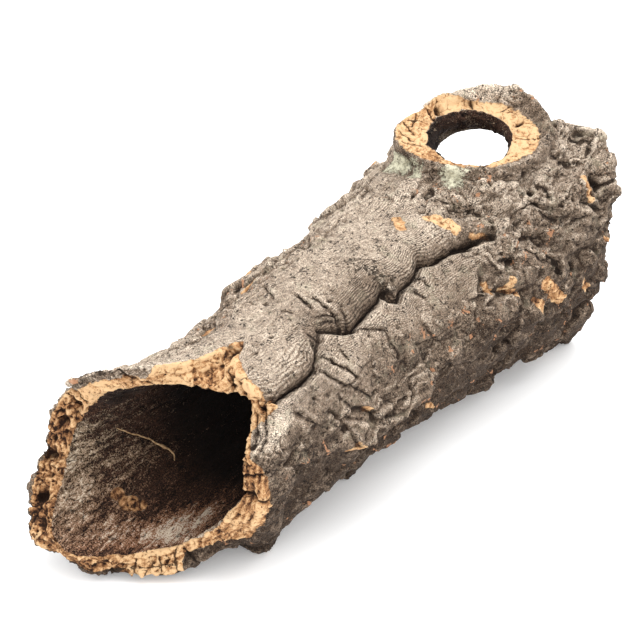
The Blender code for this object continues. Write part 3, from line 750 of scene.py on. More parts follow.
def barkDetail(at):
    leftEdge = fade(at.degrees, 96, 116) * (1 - fade(at.degrees, 200, 260))
    slabRise = detail["slabRise"] + detail["leftSlabRise"] * leftEdge
    fine = (at.slabs * slabRise + at.shards * detail["shardRise"]) * at.rugged
    at.shade = 0 * at.y
    for size, shift, rise, trench, keep in sculpt["cliffs"]:
        field = rough(at.points * np.array((1, 0.55, 1)) + at.warp * 0.5, size, 3, shift)
        slope = 2.2 / size
        kept = fade(rough(at.points, 31, 2, shift + 40), keep - 0.1, keep + 0.15) * at.rugged
        foot = hump(field + slope, slope)
        fine += (rise * (fade(field, -slope, slope) - 0.5) - trench * foot) * kept
        at.shade = np.maximum(at.shade, hump(field + slope, slope * 0.5) * kept * 0.5)
        at.grain = at.grain + field * size * 0.15 * at.rugged
    share, reach, radius = detail["barkHoles"]
    holes = hump(at.near, radius) * (at.number > 1 - share) * (0.3 + 0.7 * at.rugged)
    fine -= reach * holes
    fine += sum(getattr(at, kind) * (calm + more * at.crumbly) for kind, calm, more in detail["onBark"])
    at.shade = np.maximum(at.shade, holes)
    for pitY, pitAngle, reach, radius in sculpt["pits"]:
        gap = np.hypot(at.raggedY - pitY, angleGap(at.raggedDegrees, pitAngle) * form["arc"])
        pit = hump(gap, radius)
        fine -= reach * pit
        at.shade = np.maximum(at.shade, pit)
    fine = np.maximum(fine * (1 - 0.5 * at.stubLeft), at.deepest - at.bark - 0.5) * at.skin
    fine *= (1 - 0.6 * at.valley) * np.where(fine < 0, 1 - 0.7 * at.thinLip, 1)
    at.shade *= at.skin
    at.lines["dark"] = at.lines["dark"] * at.skin
    return fine


def rimDetail(at):
    # crumbs, holes, cracks and the edges of growth layers
    crumble = aroundRing(at.degrees, rim["crumble"])
    # mm round the middle of the wall for each degree
    roundRim = (form["wall"] * -0.5 + outsideRadius(at.y, at.degrees)) * math.radians(1)
    raggedDepth = at.depth + (at.raggedY - at.y) * 0.6
    layers = np.sin(2 * math.pi * (at.depth + at.grit + at.warp[:, 0] * 0.5) / rim["spacing"])
    relief = bitsOf(at, detail["onRim"]) * (0.15 + 0.85 * crumble) + layers * 0.4
    share, reach, radius = detail["rimHoles"]
    relief -= reach * hump(at.near, radius) * (at.number > 1 - share) * fade(crumble, 0.4, 0.9)
    for holeAngle, holeDepth, reach, radius in rim["holes"]:
        gap = np.hypot(angleGap(at.raggedDegrees, holeAngle) * roundRim, raggedDepth - holeDepth)
        relief -= reach * hump(gap, radius)
        at.shade = np.maximum(at.shade, hump(gap, radius) * at.rimFace)
    for (a0, d0), (a1, d1), reach, halfWidth in rim["cracks"]:
        run = ((a1 - a0) * roundRim, d1 - d0)
        gap, side, _ = segmentGap(angleGap(at.raggedDegrees, a0) * roundRim, raggedDepth - d0, run)
        relief -= 0.7 * reach * hump(gap, halfWidth * 1.15)
        addLine(at.lines, gap, side, halfWidth * 0.5, 0.6, at.rimFace)
    return relief


def faceDetail(at):
    # crumbs and the cracks of the sawn face
    size = (stub["halfWidth"] + stub["halfDepth"]) / 2
    turned = np.radians(at.turn)
    faceX = at.ring * np.cos(turned) * size + at.warp[:, 0] * 0.4
    faceY = at.ring * np.sin(turned) * size + at.warp[:, 1] * 0.4
    relief = bitsOf(at, detail["onCutFace"])
    for (t0, r0), (t1, r1), reach, halfWidth in cutFaceLook["cracks"]:
        start = np.array((math.cos(math.radians(t0)), math.sin(math.radians(t0)))) * r0 * size
        run = np.array((math.cos(math.radians(t1)), math.sin(math.radians(t1)))) * r1 * size - start
        gap, side, _ = segmentGap(faceX - start[0], faceY - start[1], run)
        relief -= reach * hump(gap, halfWidth * 1.15)
        addLine(at.lines, gap, side, halfWidth * 0.5, 0.6, at.cutFace)
    return relief


def innerDetail(at):
    # long low steps and fibres, crumbly near the mouth
    steps = terrace(rough(at.points, *detail["steps"]) * 2.6) * 0.9
    relief = steps + rough(at.points, *detail["fibres"])
    nearMouth = 1 - fade(at.y, -150, -90)
    relief = relief * (0.7 + 0.5 * nearMouth) + at.grit * 0.4 + at.crumbs * 0.4 * nearMouth
    return relief * at.inside * (1 - at.rimFace)


def leanLobe(moved, at):
    # the upper lobe leans over the cleft
    cx, cz = centreLine(at.y)
    lean = np.radians(2.8 / form["arc"]) * hump(at.across - 4, 5) * np.minimum(at.along, 1) * at.skin
    dx, dz = moved[:, 0] - cx, moved[:, 2] - cz
    moved[:, 0] = cx + dx * np.cos(lean) + dz * np.sin(lean)
    moved[:, 2] = cz - dx * np.sin(lean) + dz * np.cos(lean)


def liftKnobs(moved):
    # only the feet reach the floor
    feet = np.array(sculpt["feet"], float)
    gaps = np.hypot(moved[:, :1] - feet[:, 0], moved[:, 1:2] - feet[:, 1])
    lowest = np.where((gaps < feet[:, 2] * 0.75).any(axis=1), 0, sculpt["knobClearance"])
    moved[:, 2] = np.maximum(moved[:, 2], lowest)


def surfaceMasks(at):
    # where cork and the inner wall show, and how pale the cork is
    greyDepth = aroundRing(at.degrees, rim["greyDepth"])
    mouthCork = np.clip(1.1 - np.abs(at.rimGap) / 7, 0, 1) * fade(at.depth - greyDepth, -2, 2)
    farCork = np.clip(1.0 - np.abs(at.farGap) / 7, 0, 1) * fade(at.depth, 2, 5)
    faceCork = np.clip(0.5 + (at.cutEdge - at.ring) * 6, 0, 1) * fade(at.height, -8, -3)
    cork = np.maximum.reduce((mouthCork, farCork, faceCork))
    faceTone = aroundRing(at.turn, cutFaceLook["tone"])
    tone = np.where(faceCork > 0.2, faceTone, aroundRing(at.degrees, rim["tone"]))
    tone = np.where(farCork > mouthCork, rim["farTone"], tone)
    for start, finish, halfWidth, patchTone in barePatches:
        gap = lineGap(at.raggedY, at.raggedDegrees, start, finish)[0]
        patch = np.clip(0.5 + (halfWidth - gap) / 6, 0, 1) * at.skin
        tone = np.where(patch > cork, patchTone, tone)
        cork = np.maximum(cork, patch)
    faceCork *= 1 - np.clip(1.25 - at.holeGap / at.slopeWidth, 0, 1)
    cork = np.where(at.cutFace > 0.4, faceCork, cork)
    deepInside = at.inside * (1 - np.clip(1.1 - np.abs(at.rimGap) / 5, 0, 1))
    inner = np.maximum(deepInside, np.maximum(at.bore, at.cutFace))
    inner *= 1 - faceCork
    for patchY, patchAngle, radius in innerCork:
        gap = np.hypot(at.y - patchY, angleGap(at.degrees, patchAngle) * form["arc"] * 0.8)
        patch = np.clip(0.5 + (radius - gap) / 8, 0, 1) * at.inside
        tone = np.where(patch > 0.1, innerCorkTone, tone)
        cork = np.maximum(cork, patch)
        inner *= 1 - patch
    return cork, tone, inner


def dustAndShadeMask(at):
    dust = 0 * at.y
    for dustY, dustAngle, length, width, amount in dustPatches:
        side = angleGap(at.degrees, dustAngle) * form["arc"] * 0.8
        dust += amount * np.exp(-((at.y - dustY) / length) ** 2 - (side / width) ** 2)
    # deeper in the bore the value drops below zero, which paints the wall darker as shade
    return dust - 0.55 * fade(at.y, -165, -100) * (1 - fade(at.y, 120, 200))


def lichenMask(at):
    lichen = 0 * at.y
    for start, finish, halfWidth in lichenPatches:
        gap = lineGap(at.raggedY, at.raggedDegrees, start, finish)[0]
        patch = np.clip(0.5 + (halfWidth - gap) / 8, 0, 1) * at.skin * (1 - fade(-at.depth, 8, 15))
        lichen = np.maximum(lichen, patch)
    return lichen


def bleachAndLightMask(at, facingUp):
    # bark that faces the sky is paler, partly from weathering and partly as painted light from above, and so
    # are some stretches of the rim and the stub's back
    upward = 0.5 * np.sin(np.radians(at.degrees)) + 0.5 * facingUp
    # painted shade on the upper side where it rolls over into the cleft
    rolled = hump(np.maximum(at.across - 1, 0), 9) * (at.across > 0) * np.minimum(at.along, 1)
    lobe = hump(at.across, 24) * (at.across > 0) * fade(at.y, -112, -86) * (1 - fade(at.y, -24, 0))
    lobe *= np.minimum(at.along * 2, 1)
    bleachandlight = fade(upward, -0.35, 0.95) * (1 - 0.75 * rolled) * (1 - 0.68 * lobe)
    bleachandlight += 1.5 * hump(angleGap(at.degrees, 28), 7) * hump(at.y - at.mouthOut, 12)
    bleachandlight += 0.35 * hump(angleGap(at.degrees, 124), 22) * hump(at.y - at.mouthOut, 16)
    bleachandlight += (1.2 * hump(angleGap(at.turn, 95), 40) - 0.28) * at.thinLip
    return np.minimum(bleachandlight, 1.45)


def grainyMask(at):
    # growth lines show beside the cleft and on one patch of the top
    byCleft = hump(np.maximum(np.abs(at.across - 4) - 6, 0), 15) * np.minimum(at.along * 1.3, 1)
    stripes = hump(np.hypot(at.y - 68, angleGap(at.degrees, 86) * form["arc"] * 0.9), 17)
    return np.clip(0.26 + 0.9 * byCleft + 0.8 * stripes, 0, 1) * (1 - 0.85 * at.crumbly)


def triangleCount(mesh):
    return sum(len(p.vertices) - 2 for p in mesh.polygons)


def fewerFaces(tube, keep):
    # the outside and the rim keep more of their faces than the dark bore
    print("tube: fewer faces")
    classes = np.clip((keep * 4).astype(int), 0, 3)
    group = tube.vertex_groups.new(name="fewer")
    for k, weight in enumerate(sculpt["fewer"]):
        group.add(np.flatnonzero(classes == k).tolist(), weight, "REPLACE")
    thin = tube.modifiers.new("fewerFaces", "DECIMATE")
    thin.ratio = sculpt["triangles"] / triangleCount(tube.data)
    thin.vertex_group = "fewer"
    thin.vertex_group_factor = sculpt["fewerFactor"]
    bakeModifiers(tube)
    tube.vertex_groups.clear()


def makeTube():
    tube = baseTube()
    mesh = tube.data
    print("tube: broad relief on", len(mesh.vertices), "points")
    points, normals = meshPoints(mesh)
    edges = np.empty(len(mesh.edges) * 2, int)
    mesh.edges.foreach_get("vertices", edges)
    edges = edges.reshape(-1, 2)
    at = placesOn(points)
    at.valley = fade(hollowness(mesh, edges, 40), 0.3, 1.3)
    moved = broadForm(at, normals)
    setPoints(mesh, moved)

    print("tube: fine relief")
    _, normals = meshPoints(mesh)
    breakUp(at)
    fine = barkDetail(at)
    fine = fine * (1 - at.rimFace) + rimDetail(at) * at.rimFace
    fine += bitsOf(at, detail["onFarEdge"]) * at.farFace * (1 - at.skin)
    fine += faceDetail(at) * at.cutFace + bitsOf(at, detail["inBranchHole"]) * at.bore
    fine += innerDetail(at)
    moved = moved + normals * fine[:, None]
    leanLobe(moved, at)
    liftKnobs(moved)
    setPoints(mesh, moved)

    print("tube: masks")
    spikes = np.clip(-hollowness(mesh, edges, 4) - detail["spikeLeft"], 0, 6)
    moved, normals = meshPoints(mesh)
    setPoints(mesh, moved - normals * spikes[:, None])
    _, normals = meshPoints(mesh)
    cork, tone, inner = surfaceMasks(at)
    masks = {
        "inner": inner, "cork": cork, "tone": tone,
        # how far each place lies below its surroundings; the materials paint shade into the hollow and deep
        # places
        "hollow": np.clip(hollowness(mesh, edges, 4) / 0.6, -1, 1),
        "deep": np.clip(hollowness(mesh, edges, 50) / 2.5, -1, 1),
        "grainy": grainyMask(at), "grain": at.grain, "rugged": at.crumbly, "shade": at.shade,
        "layers": np.where(at.cutFace > 0.3, at.ring * 40, at.depth),
        "across": np.clip(at.lines["across"], -5, 5),
        "crack": at.lines["dark"] * (1 - fade(np.abs(at.lines["across"]), 2, 4)),
        "earth": hump(angleGap(at.degrees, 264), 50) * at.inside,
        "dust": dustAndShadeMask(at), "lichen": lichenMask(at), "bleachandlight": bleachAndLightMask(at, normals[:, 2]),
    }
    for name, values in masks.items():
        setAttribute(mesh, name, values)

    broken = (1 - at.outside) * (1 - at.inside) * (1 - at.cutFace) * (1 - at.bore)
    keep = np.clip(np.maximum.reduce((at.outside, at.rimFace, at.cutFace, broken)), 0, 1)
    fewerFaces(tube, keep * fade(normals[:, 2], -0.9, -0.2))
    mesh = tube.data
    points, _ = meshPoints(mesh)
    setPoints(mesh, points - planMiddle)
    mesh.name = "cork_bark"
    mesh.shade_smooth()
    print("tube:", triangleCount(mesh), "triangles")
    return tube


# A dry rootlet lying on the inner wall: y, degrees, depth below the outside, radius, all but degrees in mm

rootlet = {
    "path": (
        (-176, 182, 16.6, 0.3), (-171, 186, 18.0, 0.45), (-165, 191, 19.0, 0.5), (-158, 197, 19.6, 0.55),
        (-152, 203, 19.6, 0.6), (-148, 208, 19.2, 0.7), (-145, 211, 19.0, 1.4), (-143, 213, 18.6, 0.8),
        (-141, 217, 18.4, 0.6), (-140, 220, 17.6, 0.55), (-142, 223, 16.6, 0.35),
    ),
    "sides": 7, "steps": 60, "wobble": 0.7,
}


def makeRootlet():
    print("rootlet")
    stations = np.arange(len(rootlet["path"]), dtype=float)
    walk = np.linspace(0, stations[-1], rootlet["steps"])
    y, degrees, depth, radius = (curveThrough(walk, stations, v) for v in np.array(rootlet["path"], float).T)
    line = polarPoints(y, degrees, outsideRadius(y, degrees) - depth) - planMiddle
    line += np.stack([rough(line, 6, 2, 40 * k) for k in (1, 2, 3)], axis=1) * rootlet["wobble"]
    line = [Vector(p) * mm for p in line.tolist()]
    bm = bmesh.new()
    ring = bmesh.ops.create_circle(bm, segments=rootlet["sides"], radius=1)["verts"]
    shape = [v.co.copy() for v in ring]
    bmesh.ops.contextual_create(bm, geom=ring)
    for k, (place, size) in enumerate(zip(line, radius)):
        ahead = (line[min(k + 1, len(line) - 1)] - line[max(k - 1, 0)]).to_track_quat("Z", "Y")
        if k:
            edges = [e for e in bm.edges if e.verts[0] in ring and e.verts[1] in ring]
            made = bmesh.ops.extrude_edge_only(bm, edges=edges)["geom"]
            ring = [g for g in made if isinstance(g, bmesh.types.BMVert)]
        for vert, corner in zip(ring, shape):
            vert.co = place + ahead @ (corner * size * mm)
    bmesh.ops.contextual_create(bm, geom=ring)
    root = newObject("rootlet", bm)
    root.data.shade_smooth()
    return root


# Materials

def newMaterial(name, roughness, shine=0.5):
    material = bpy.data.materials.new(name)
    material.use_nodes = True
    shader = material.node_tree.nodes["Principled BSDF"].inputs
    shader["Roughness"].default_value = roughness
    shader["Specular IOR Level"].default_value = shine
    return material, material.node_tree, shader


def feed(tree, socket, value):
    # a socket, a number or a colour goes into an input
    if isinstance(value, bpy.types.NodeSocket):
        tree.links.new(value, socket)
    elif socket.type == "RGBA":
        socket.default_value = (*value, 1)
    else:
        socket.default_value = value


def addNode(tree, kind, inputs, **settings):
    node = tree.nodes.new("ShaderNode" + kind)
    for name, value in settings.items():
        setattr(node, name, value)
    for key, value in inputs.items():
        feed(tree, node.inputs[key], value)
    return node


def calc(tree, operation, *values):
    return addNode(tree, "Math", dict(enumerate(values)), operation=operation).outputs[0]


def times(tree, a, b):
    return calc(tree, "MULTIPLY", a, b)


def highest(tree, field, *others):
    for other in others:
        field = calc(tree, "MAXIMUM", field, other)
    return field


def addParts(tree, field, *parts):
    # each part is (other field, amount)
    for other, amount in parts:
        field = calc(tree, "MULTIPLY_ADD", other, amount, field)
    return field


def centred(tree, field):
    return calc(tree, "SUBTRACT", field, 0.5)


def addTone(tree, tone, *parts):
    # as addParts, for fields around 0.5
    return addParts(tree, tone, *((centred(tree, field), amount) for field, amount in parts))


def mixColour(tree, amount, a, b, blend="MIX"):
    return addNode(tree, "Mix", {0: amount, 6: a, 7: b}, data_type="RGBA", blend_type=blend).outputs[2]


def mixValue(tree, amount, a, b):
    return addNode(tree, "Mix", {0: amount, 2: a, 3: b}).outputs[0]


def remap(tree, value, low, high, toLow=0.0, toHigh=1.0):
    inputs = dict(enumerate((value, low, high, toLow, toHigh)))
    return addNode(tree, "MapRange", inputs, interpolation_type="SMOOTHSTEP").outputs[0]


def stretched(tree, coords, stretch, shift=0.0):
    inputs = {0: coords, "Location": (shift, shift * 1.7, shift * 0.6), "Scale": [1 / s for s in stretch]}
    return addNode(tree, "Mapping", inputs).outputs[0]


def noiseOf(tree, coords, size, octaves=3.0, roughness=0.55, stretch=(1, 1, 1), shift=0.0, warp=0.0):
    # size is the lump size in mm; stretch makes lumps longer along an axis
    inputs = {"Vector": stretched(tree, coords, stretch, shift), "Scale": 1 / size, "Detail": octaves,
              "Roughness": roughness, "Distortion": warp}
    return addNode(tree, "TexNoise", inputs).outputs[0]


def cellsOf(tree, coords, size, feature="F1", stretch=(1, 1, 1)):
    inputs = {"Vector": stretched(tree, coords, stretch), "Scale": 1 / size}
    return addNode(tree, "TexVoronoi", inputs, feature=feature).outputs


def noiseWarp(tree, coords, size, amount):
    # coordinates pushed about by this many mm
    scaled = addNode(tree, "VectorMath", {0: coords, "Scale": 1 / size}, operation="SCALE").outputs[0]
    push = addNode(tree, "TexNoise", {"Vector": scaled, "Scale": 1, "Detail": 2}).outputs["Color"]
    inputs = {0: push, 1: (amount,) * 3, 2: coords}
    return addNode(tree, "VectorMath", inputs, operation="MULTIPLY_ADD").outputs[0]


def millimetres(tree):
    coords = addNode(tree, "TexCoord", {}).outputs["Object"]
    return addNode(tree, "VectorMath", {0: coords, "Scale": 1 / mm}, operation="SCALE").outputs[0]


def attributeOf(tree, name):
    return addNode(tree, "Attribute", {}, attribute_name=name).outputs["Fac"]


def bumpOf(tree, height, distance):
    return addNode(tree, "Bump", {"Height": height, "Distance": distance * mm, "Strength": 1.0}).outputs[0]


def newGroup(name, labels):
    # coordinates and one value for each label go in, a colour and a height in mm come out
    tree = bpy.data.node_groups.new(name, "ShaderNodeTree")
    tree.interface.new_socket("Coords", in_out="INPUT", socket_type="NodeSocketVector")
    for label in labels:
        tree.interface.new_socket(label, in_out="INPUT", socket_type="NodeSocketFloat")
    tree.interface.new_socket("Color", in_out="OUTPUT", socket_type="NodeSocketColor")
    tree.interface.new_socket("Height", in_out="OUTPUT", socket_type="NodeSocketFloat")
    return tree, tree.nodes.new("NodeGroupInput").outputs, tree.nodes.new("NodeGroupOutput").inputs


def useGroup(tree, group, coords):
    # each input takes the attribute of its own name
    node = addNode(tree, "Group", {"Coords": coords}, node_tree=group)
    for socket in node.inputs[1:]:
        feed(tree, socket, attributeOf(tree, socket.name.lower()))
    return node.outputs


def ramp(tree, value, *stops):
    node = addNode(tree, "ValToRGB", {0: value})
    elements = node.color_ramp.elements
    while len(elements) < len(stops):
        elements.new(0.5)
    for element, (place, colour) in zip(elements, stops):
        element.position = place
        element.color = (*colour, 1)
    return node.outputs[0]


barkLook = {
    "dark": (0.050, 0.032, 0.021),
    "middle": (0.190, 0.138, 0.098),
    "pale": (0.60, 0.495, 0.39),
    # near-black that is painted into crevices, pits and cracks as shade
    "crevice": (0.020, 0.012, 0.008),
    "speck": (0.70, 0.61, 0.47),
    "fleck": (0.47, 0.235, 0.125),
    "moss": (0.40, 0.37, 0.26),
    "lichen": (0.80, 0.77, 0.58),
    "lineGap": 1.7,          # mm between growth lines
    "grain": 5.0,            # contrast of the finest speckle
}
corkLook = {
    "brown": (0.024, 0.010, 0.005),
    "red": (0.165, 0.072, 0.032),
    "tan": (0.44, 0.225, 0.095),
    "pale": (0.76, 0.50, 0.27),
}
innerLook = {
    "black": (0.007, 0.004, 0.003),
    "brown": (0.115, 0.053, 0.031),
    "dust": (0.36, 0.265, 0.175),
    "earth": (0.34, 0.158, 0.084),
    "chalk": (0.80, 0.68, 0.53),
}
rootLook = {
    "brown": (0.20, 0.085, 0.035),
    "tan": (0.52, 0.34, 0.17),
    "pale": (0.66, 0.50, 0.30),
}


def dashes(tree, coords, size, stretch, width, low, shift):
    # short wavy cracks: thin contour lines of a noise, kept here and there
    lines = noiseOf(tree, coords, size, 2, 0.5, stretch=stretch, shift=shift)
    thin = remap(tree, calc(tree, "ABSOLUTE", centred(tree, lines)), 0.0, width, 1.0, 0.0)
    return times(tree, thin, remap(tree, noiseOf(tree, coords, 7, 2, shift=shift + 9), low, low + 0.06))


def pitsOf(tree, coords, size, stretch, shift, share):
    # small round pits, kept where a noise is over the share
    pits = remap(tree, cellsOf(tree, coords, size, stretch=stretch)["Distance"], 0.14, 0.24, 1.0, 0.0)
    return times(tree, pits, calc(tree, "GREATER_THAN", noiseOf(tree, coords, 6, 1, shift=shift), share))


def crackLine(tree, given, ragged, strength=1.0):
    # the line in the middle of each sculpted crack, with a ragged edge
    line = calc(tree, "MULTIPLY_ADD", centred(tree, ragged), 1.6, given["Across"])
    line = times(tree, remap(tree, calc(tree, "ABSOLUTE", line), 0.35, 1.0, 1.0, 0.0), strength)
    return times(tree, line, remap(tree, given["Crack"], 0.1, 0.6))


def barkGroup():
    look = barkLook
    labels = ("Grain", "Hollow", "Deep", "Rugged", "Bleachandlight", "Shade", "Lichen", "Across", "Crack", "Grainy")
    tree, given, out = newGroup("barkSkin", labels)
    coords = given["Coords"]
    broad = noiseOf(tree, coords, 42, 4)
    patch = noiseOf(tree, coords, 9, 4, 0.65, shift=30)
    weave = noiseOf(tree, coords, 2.4, 3, 0.75, stretch=(1, 1.8, 1))
    grains = noiseOf(tree, coords, 0.95, 2, 0.85, shift=55)
    # growth lines
    sway = times(tree, centred(tree, noiseOf(tree, coords, 7, 3)), 2.0)
    phase = times(tree, calc(tree, "ADD", given["Grain"], sway), 2 * math.pi / look["lineGap"])
    lines = calc(tree, "POWER", calc(tree, "MULTIPLY_ADD", calc(tree, "SINE", phase), 0.5, 0.5), 0.55)
    strength = remap(tree, noiseOf(tree, coords, 12, 2, shift=71), 0.36, 0.56, 0.3, 1.0)
    strength = times(tree, strength, given["Grainy"])
    linesOnly = times(tree, calc(tree, "SUBTRACT", lines, 0.62), strength)
    facet = cellsOf(tree, noiseWarp(tree, coords, 9, 7.0), 9)["Color"]
    facet = mixValue(tree, given["Rugged"], 0.5, facet)
    # the paler tone on bark that faces up is partly painted light from above
    tone = addParts(tree, 0.02, (given["Bleachandlight"], 0.62), (given["Rugged"], -0.10))
    tone = addTone(tree, tone, (broad, 0.45), (patch, 0.55), (weave, 0.75), (facet, 0.25))
    # hollows are painted darker, as shade
    tone = addParts(tree, tone, (linesOnly, 0.50), (given["Hollow"], -0.30))
    colour = ramp(tree, tone, (0.0, look["dark"]), (0.42, look["middle"]), (0.95, look["pale"]))
    # a grain as strong in the dark places as in the pale ones
    contrast = addParts(tree, look["grain"], (given["Rugged"], 2.2))
    grained = addTone(tree, 1.0, (grains, contrast))
    colour = mixColour(tree, 1.0, colour, highest(tree, grained, 0.2), "MULTIPLY")
    mossy = remap(tree, noiseOf(tree, coords, 15, 4, 0.7, shift=140), 0.54, 0.66)
    mossy = times(tree, mossy, times(tree, given["Bleachandlight"], 0.3))
    colour = mixColour(tree, mossy, colour, look["moss"])
    speck = remap(tree, cellsOf(tree, coords, 2.2)["Distance"], 0.12, 0.26, 1.0, 0.0)
    speck = times(tree, speck, remap(tree, noiseOf(tree, coords, 12, 3, shift=5), 0.44, 0.60))
    lit = addParts(tree, 0.05, (given["Bleachandlight"], 0.65))
    colour = mixColour(tree, times(tree, speck, lit), colour, look["speck"])
    bare = remap(tree, noiseOf(tree, coords, 9, 3, 0.6, shift=210), 0.635, 0.665)
    bare = times(tree, bare, remap(tree, given["Rugged"], 0.3, 0.9, 0.0, 0.85))
    colour = mixColour(tree, bare, colour, look["fleck"])
    pit = pitsOf(tree, coords, 3.6, (1, 1.5, 1), 12, 0.50)
    split = highest(tree, dashes(tree, coords, 9, (1, 2.2, 1), 0.020, 0.52, 33),
                    dashes(tree, coords, 5, (1.3, 1, 1.3), 0.024, 0.54, 83))
    shaded = addTone(tree, given["Shade"], (patch, 0.5))
    # the crust of lichen lies over the cracks
    crust = addTone(tree, given["Lichen"], (noiseOf(tree, coords, 2.6, 4, 0.85, shift=77), 3.4))
    crust = times(tree, remap(tree, crust, 0.40, 0.56), remap(tree, given["Lichen"], 0.05, 0.3))
    crustColour = mixColour(tree, remap(tree, weave, 0.36, 0.58), look["moss"], look["lichen"])
    colour = mixColour(tree, times(tree, crust, 0.9), colour, crustColour)
    broken = remap(tree, noiseOf(tree, coords, 4.5, 2, shift=91), 0.38, 0.52, 0.2, 1.0)
    broken = highest(tree, broken, remap(tree, given["Crack"], 0.72, 0.95))
    line = crackLine(tree, given, weave, broken)
    # pits, cracks, hollows, deep places and the shade mask take the near-black crevice colour: painted shade
    deep = remap(tree, given["Deep"], 0.35, 1.0, 0.0, 0.9)
    hollow = remap(tree, given["Hollow"], 0.5, 1.0, 0.0, 0.5)
    dark = highest(tree, pit, deep, hollow, split, remap(tree, shaded, 0.25, 0.75), line)
    dark = times(tree, dark, addParts(tree, 1.0, (crust, -0.6)))
    feed(tree, out["Color"], mixColour(tree, times(tree, dark, 0.92), colour, look["crevice"]))
    height = addParts(tree, times(tree, weave, 1.2), (line, -1.5), (crust, 0.8), (patch, 1.4), (grains, 0.8),
                      (times(tree, lines, strength), 0.6), (pit, -1.3), (split, -1.0), (speck, 0.35))
    feed(tree, out["Height"], height)
    return tree


def corkGroup():
    look = corkLook
    labels = ("Tone", "Layers", "Hollow", "Deep", "Shade", "Across", "Crack")
    tree, given, out = newGroup("brokenCork", labels)
    coords = given["Coords"]
    patch = noiseOf(tree, coords, 11, 3, shift=9)
    mottle = noiseOf(tree, coords, 3.4, 4, 0.75, shift=44)
    fine = noiseOf(tree, coords, 1.0, 2, 0.7)
    wobble = times(tree, centred(tree, noiseOf(tree, coords, 8, 2, shift=3)), 5.0)
    layer = calc(tree, "SINE", times(tree, calc(tree, "ADD", given["Layers"], wobble), 2.6))
    crack = cellsOf(tree, noiseWarp(tree, coords, 5, 4.0), 12, "DISTANCE_TO_EDGE")["Distance"]
    crack = remap(tree, crack, 0.0, 0.04, 1.0, 0.0)
    crack = times(tree, crack, remap(tree, noiseOf(tree, coords, 8, 2, shift=61), 0.46, 0.56))
    crack = highest(tree, crack, dashes(tree, coords, 5, (1, 1, 1), 0.016, 0.54, 19))
    pit = pitsOf(tree, coords, 3.4, (1, 1, 1), 112, 0.54)
    tone = addTone(tree, given["Tone"], (patch, 1.0), (mottle, 1.5), (fine, 0.9))
    # hollows are painted darker, as shade
    tone = addParts(tree, tone, (given["Hollow"], -0.42), (layer, 0.06), (crack, -0.32), (pit, -0.5))
    stops = ((0.0, look["brown"]), (0.26, look["red"]), (0.56, look["tan"]), (0.92, look["pale"]))
    colour = ramp(tree, tone, *stops)
    line = crackLine(tree, given, mottle)
    # deep places, hollows, the shade mask and crack lines darken towards brown: painted shade
    dark = highest(tree, remap(tree, given["Deep"], 0.35, 1.0), remap(tree, given["Hollow"], 0.5, 1.0),
                   remap(tree, given["Shade"], 0.2, 0.75), line)
    feed(tree, out["Color"], mixColour(tree, times(tree, dark, 0.85), colour, look["brown"]))
    height = addParts(tree, times(tree, mottle, 1.8), (fine, 0.5), (crack, -0.8), (pit, -0.8), (line, -1.2))
    feed(tree, out["Height"], height)
    return tree


def innerGroup():
    look = innerLook
    tree, given, out = newGroup("innerWall", ("Dust", "Hollow", "Earth"))
    coords = given["Coords"]
    streak = noiseOf(tree, coords, 3.0, 4, 0.78, stretch=(1, 4, 1), warp=0.8)
    patch = noiseOf(tree, coords, 12, 3, stretch=(1, 3.5, 1), shift=8)
    grit = noiseOf(tree, coords, 1.1, 3, 0.85, shift=17)
    # dust below zero darkens the wall to black: painted shade deep in the bore
    lit = times(tree, remap(tree, grit, 0.38, 0.66), remap(tree, given["Dust"], -0.5, 0.0, 0.15, 1.0))
    colour = mixColour(tree, lit, look["black"], look["brown"])
    amount = addTone(tree, given["Dust"], (streak, 3.4), (patch, 2.0), (grit, 4.4))
    # less dust shows in hollows, which are painted darker as shade
    amount = addParts(tree, amount, (given["Hollow"], -0.35))
    dustColour = mixColour(tree, given["Earth"], look["dust"], look["earth"])
    colour = mixColour(tree, remap(tree, amount, 0.38, 0.82), colour, dustColour)
    colour = mixColour(tree, remap(tree, amount, 1.15, 1.5), colour, look["chalk"])
    # cracks and hollows darken to black: painted shade
    crackedAndShaded = highest(tree, dashes(tree, coords, 6, (1, 4, 1), 0.03, 0.47, 150),
                      remap(tree, given["Hollow"], 0.4, 1.0))
    feed(tree, out["Color"], mixColour(tree, times(tree, crackedAndShaded, 0.85), colour, look["black"]))
    feed(tree, out["Height"], addParts(tree, times(tree, grit, 1.2), (streak, 1.8), (crackedAndShaded, -0.8)))
    return tree


def tubeMaterial():
    material, tree, shader = newMaterial("corkBark", 0.93, 0.25)
    coords = millimetres(tree)
    bark, cork, inner = (useGroup(tree, group(), coords) for group in (barkGroup, corkGroup, innerGroup))
    rag = times(tree, centred(tree, noiseOf(tree, coords, 3.5, 3, shift=2)), 0.7)
    colour, height = bark["Color"], bark["Height"]
    for name, part in (("cork", cork), ("inner", inner)):
        mask = remap(tree, calc(tree, "ADD", attributeOf(tree, name), rag), 0.42, 0.58)
        colour = mixColour(tree, mask, colour, part["Color"])
        height = mixValue(tree, mask, height, part["Height"])
    feed(tree, shader["Base Color"], colour)
    feed(tree, shader["Normal"], bumpOf(tree, height, 1.0))
    return material


def rootletMaterial():
    look = rootLook
    material, tree, shader = newMaterial("dryRoot", 0.8)
    coords = millimetres(tree)
    mottle = noiseOf(tree, coords, 2.2, 3, 0.6)
    colour = ramp(tree, mottle, (0.30, look["brown"]), (0.55, look["tan"]), (0.75, look["pale"]))
    feed(tree, shader["Base Color"], colour)
    feed(tree, shader["Normal"], bumpOf(tree, noiseOf(tree, coords, 0.8, 2), 0.3))
    return material


# Floor, light and camera

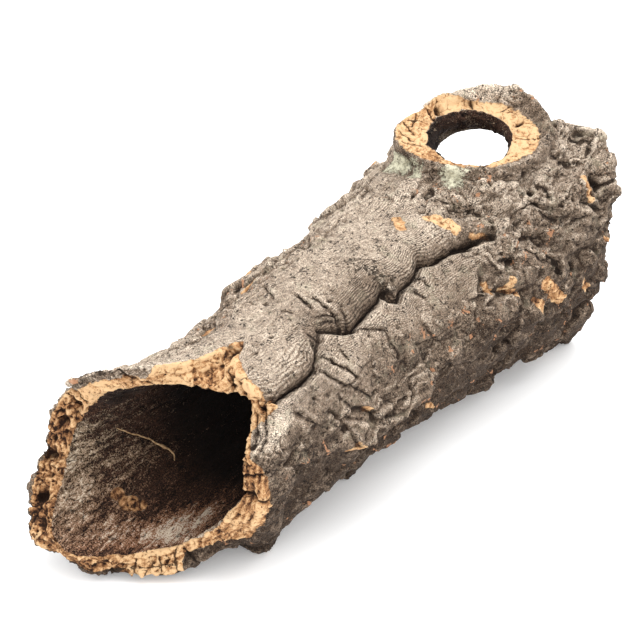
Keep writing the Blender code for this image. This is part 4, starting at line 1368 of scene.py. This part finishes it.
studio = {
    "cameraTarget": (-0.0187, 0.0088, 0.085), "azimuth": 31, "elevation": 30, "distance": 1.35,
    "lens": 102.516, "shift": (-10 / 640, 15 / 640),
    "floorHalf": 3.0, "floorColour": (0.93, 0.93, 0.93), "floorShade": (0.90, 0.90, 0.90),
    "floorPatch": 300, "floorGlow": 0.15,
    "skyStrength": 1.55, "sunStrength": 1.7, "sunSize": 50, "sunTurn": (-18, 8, 0),
}


def makeStudio():
    bm = bmesh.new()
    bmesh.ops.create_grid(bm, x_segments=1, y_segments=1, size=studio["floorHalf"])
    floor = newObject("floor", bm)
    material, tree, shader = newMaterial("paleFloor", 0.8, 0.1)
    patches = noiseOf(tree, millimetres(tree), studio["floorPatch"], 2)
    feed(tree, shader["Base Color"], mixColour(tree, patches, studio["floorColour"], studio["floorShade"]))
    shader["Emission Color"].default_value = (1, 1, 1, 1)
    shader["Emission Strength"].default_value = studio["floorGlow"]
    floor.data.materials.append(material)

    world = bpy.data.worlds.new("softSky")
    bpy.context.scene.world = world
    world.use_nodes = True
    world.node_tree.nodes["Background"].inputs[0].default_value = (1, 1, 1, 1)
    world.node_tree.nodes["Background"].inputs[1].default_value = studio["skyStrength"]
    lamp = bpy.data.lights.new("key", "SUN")
    lamp.energy = studio["sunStrength"]
    lamp.angle = math.radians(studio["sunSize"])
    key = bpy.data.objects.new("key", lamp)
    key.rotation_euler = [math.radians(a) for a in studio["sunTurn"]]
    bpy.context.scene.collection.objects.link(key)

    lens = bpy.data.cameras.new("camera")
    lens.lens = studio["lens"]
    lens.sensor_width = 36
    lens.shift_x, lens.shift_y = studio["shift"]
    camera = bpy.data.objects.new("camera", lens)
    a, e = math.radians(studio["azimuth"]), math.radians(studio["elevation"])
    back = Vector((math.sin(a) * math.cos(e), -math.cos(a) * math.cos(e), math.sin(e)))
    camera.location = Vector(studio["cameraTarget"]) + back * studio["distance"]
    camera.rotation_euler = (-back).to_track_quat("-Z", "Y").to_euler()
    bpy.context.scene.collection.objects.link(camera)
    bpy.context.scene.camera = camera
    bpy.context.scene.view_settings.view_transform = "Standard"


makeStudio()
corkTube = makeTube()
corkTube.data.materials.clear()
corkTube.data.materials.append(tubeMaterial())
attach(corkTube, "root")
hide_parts("cork_bark_tube")

dryRoot = makeRootlet()
dryRoot.data.materials.append(rootletMaterial())
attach(dryRoot, "root")
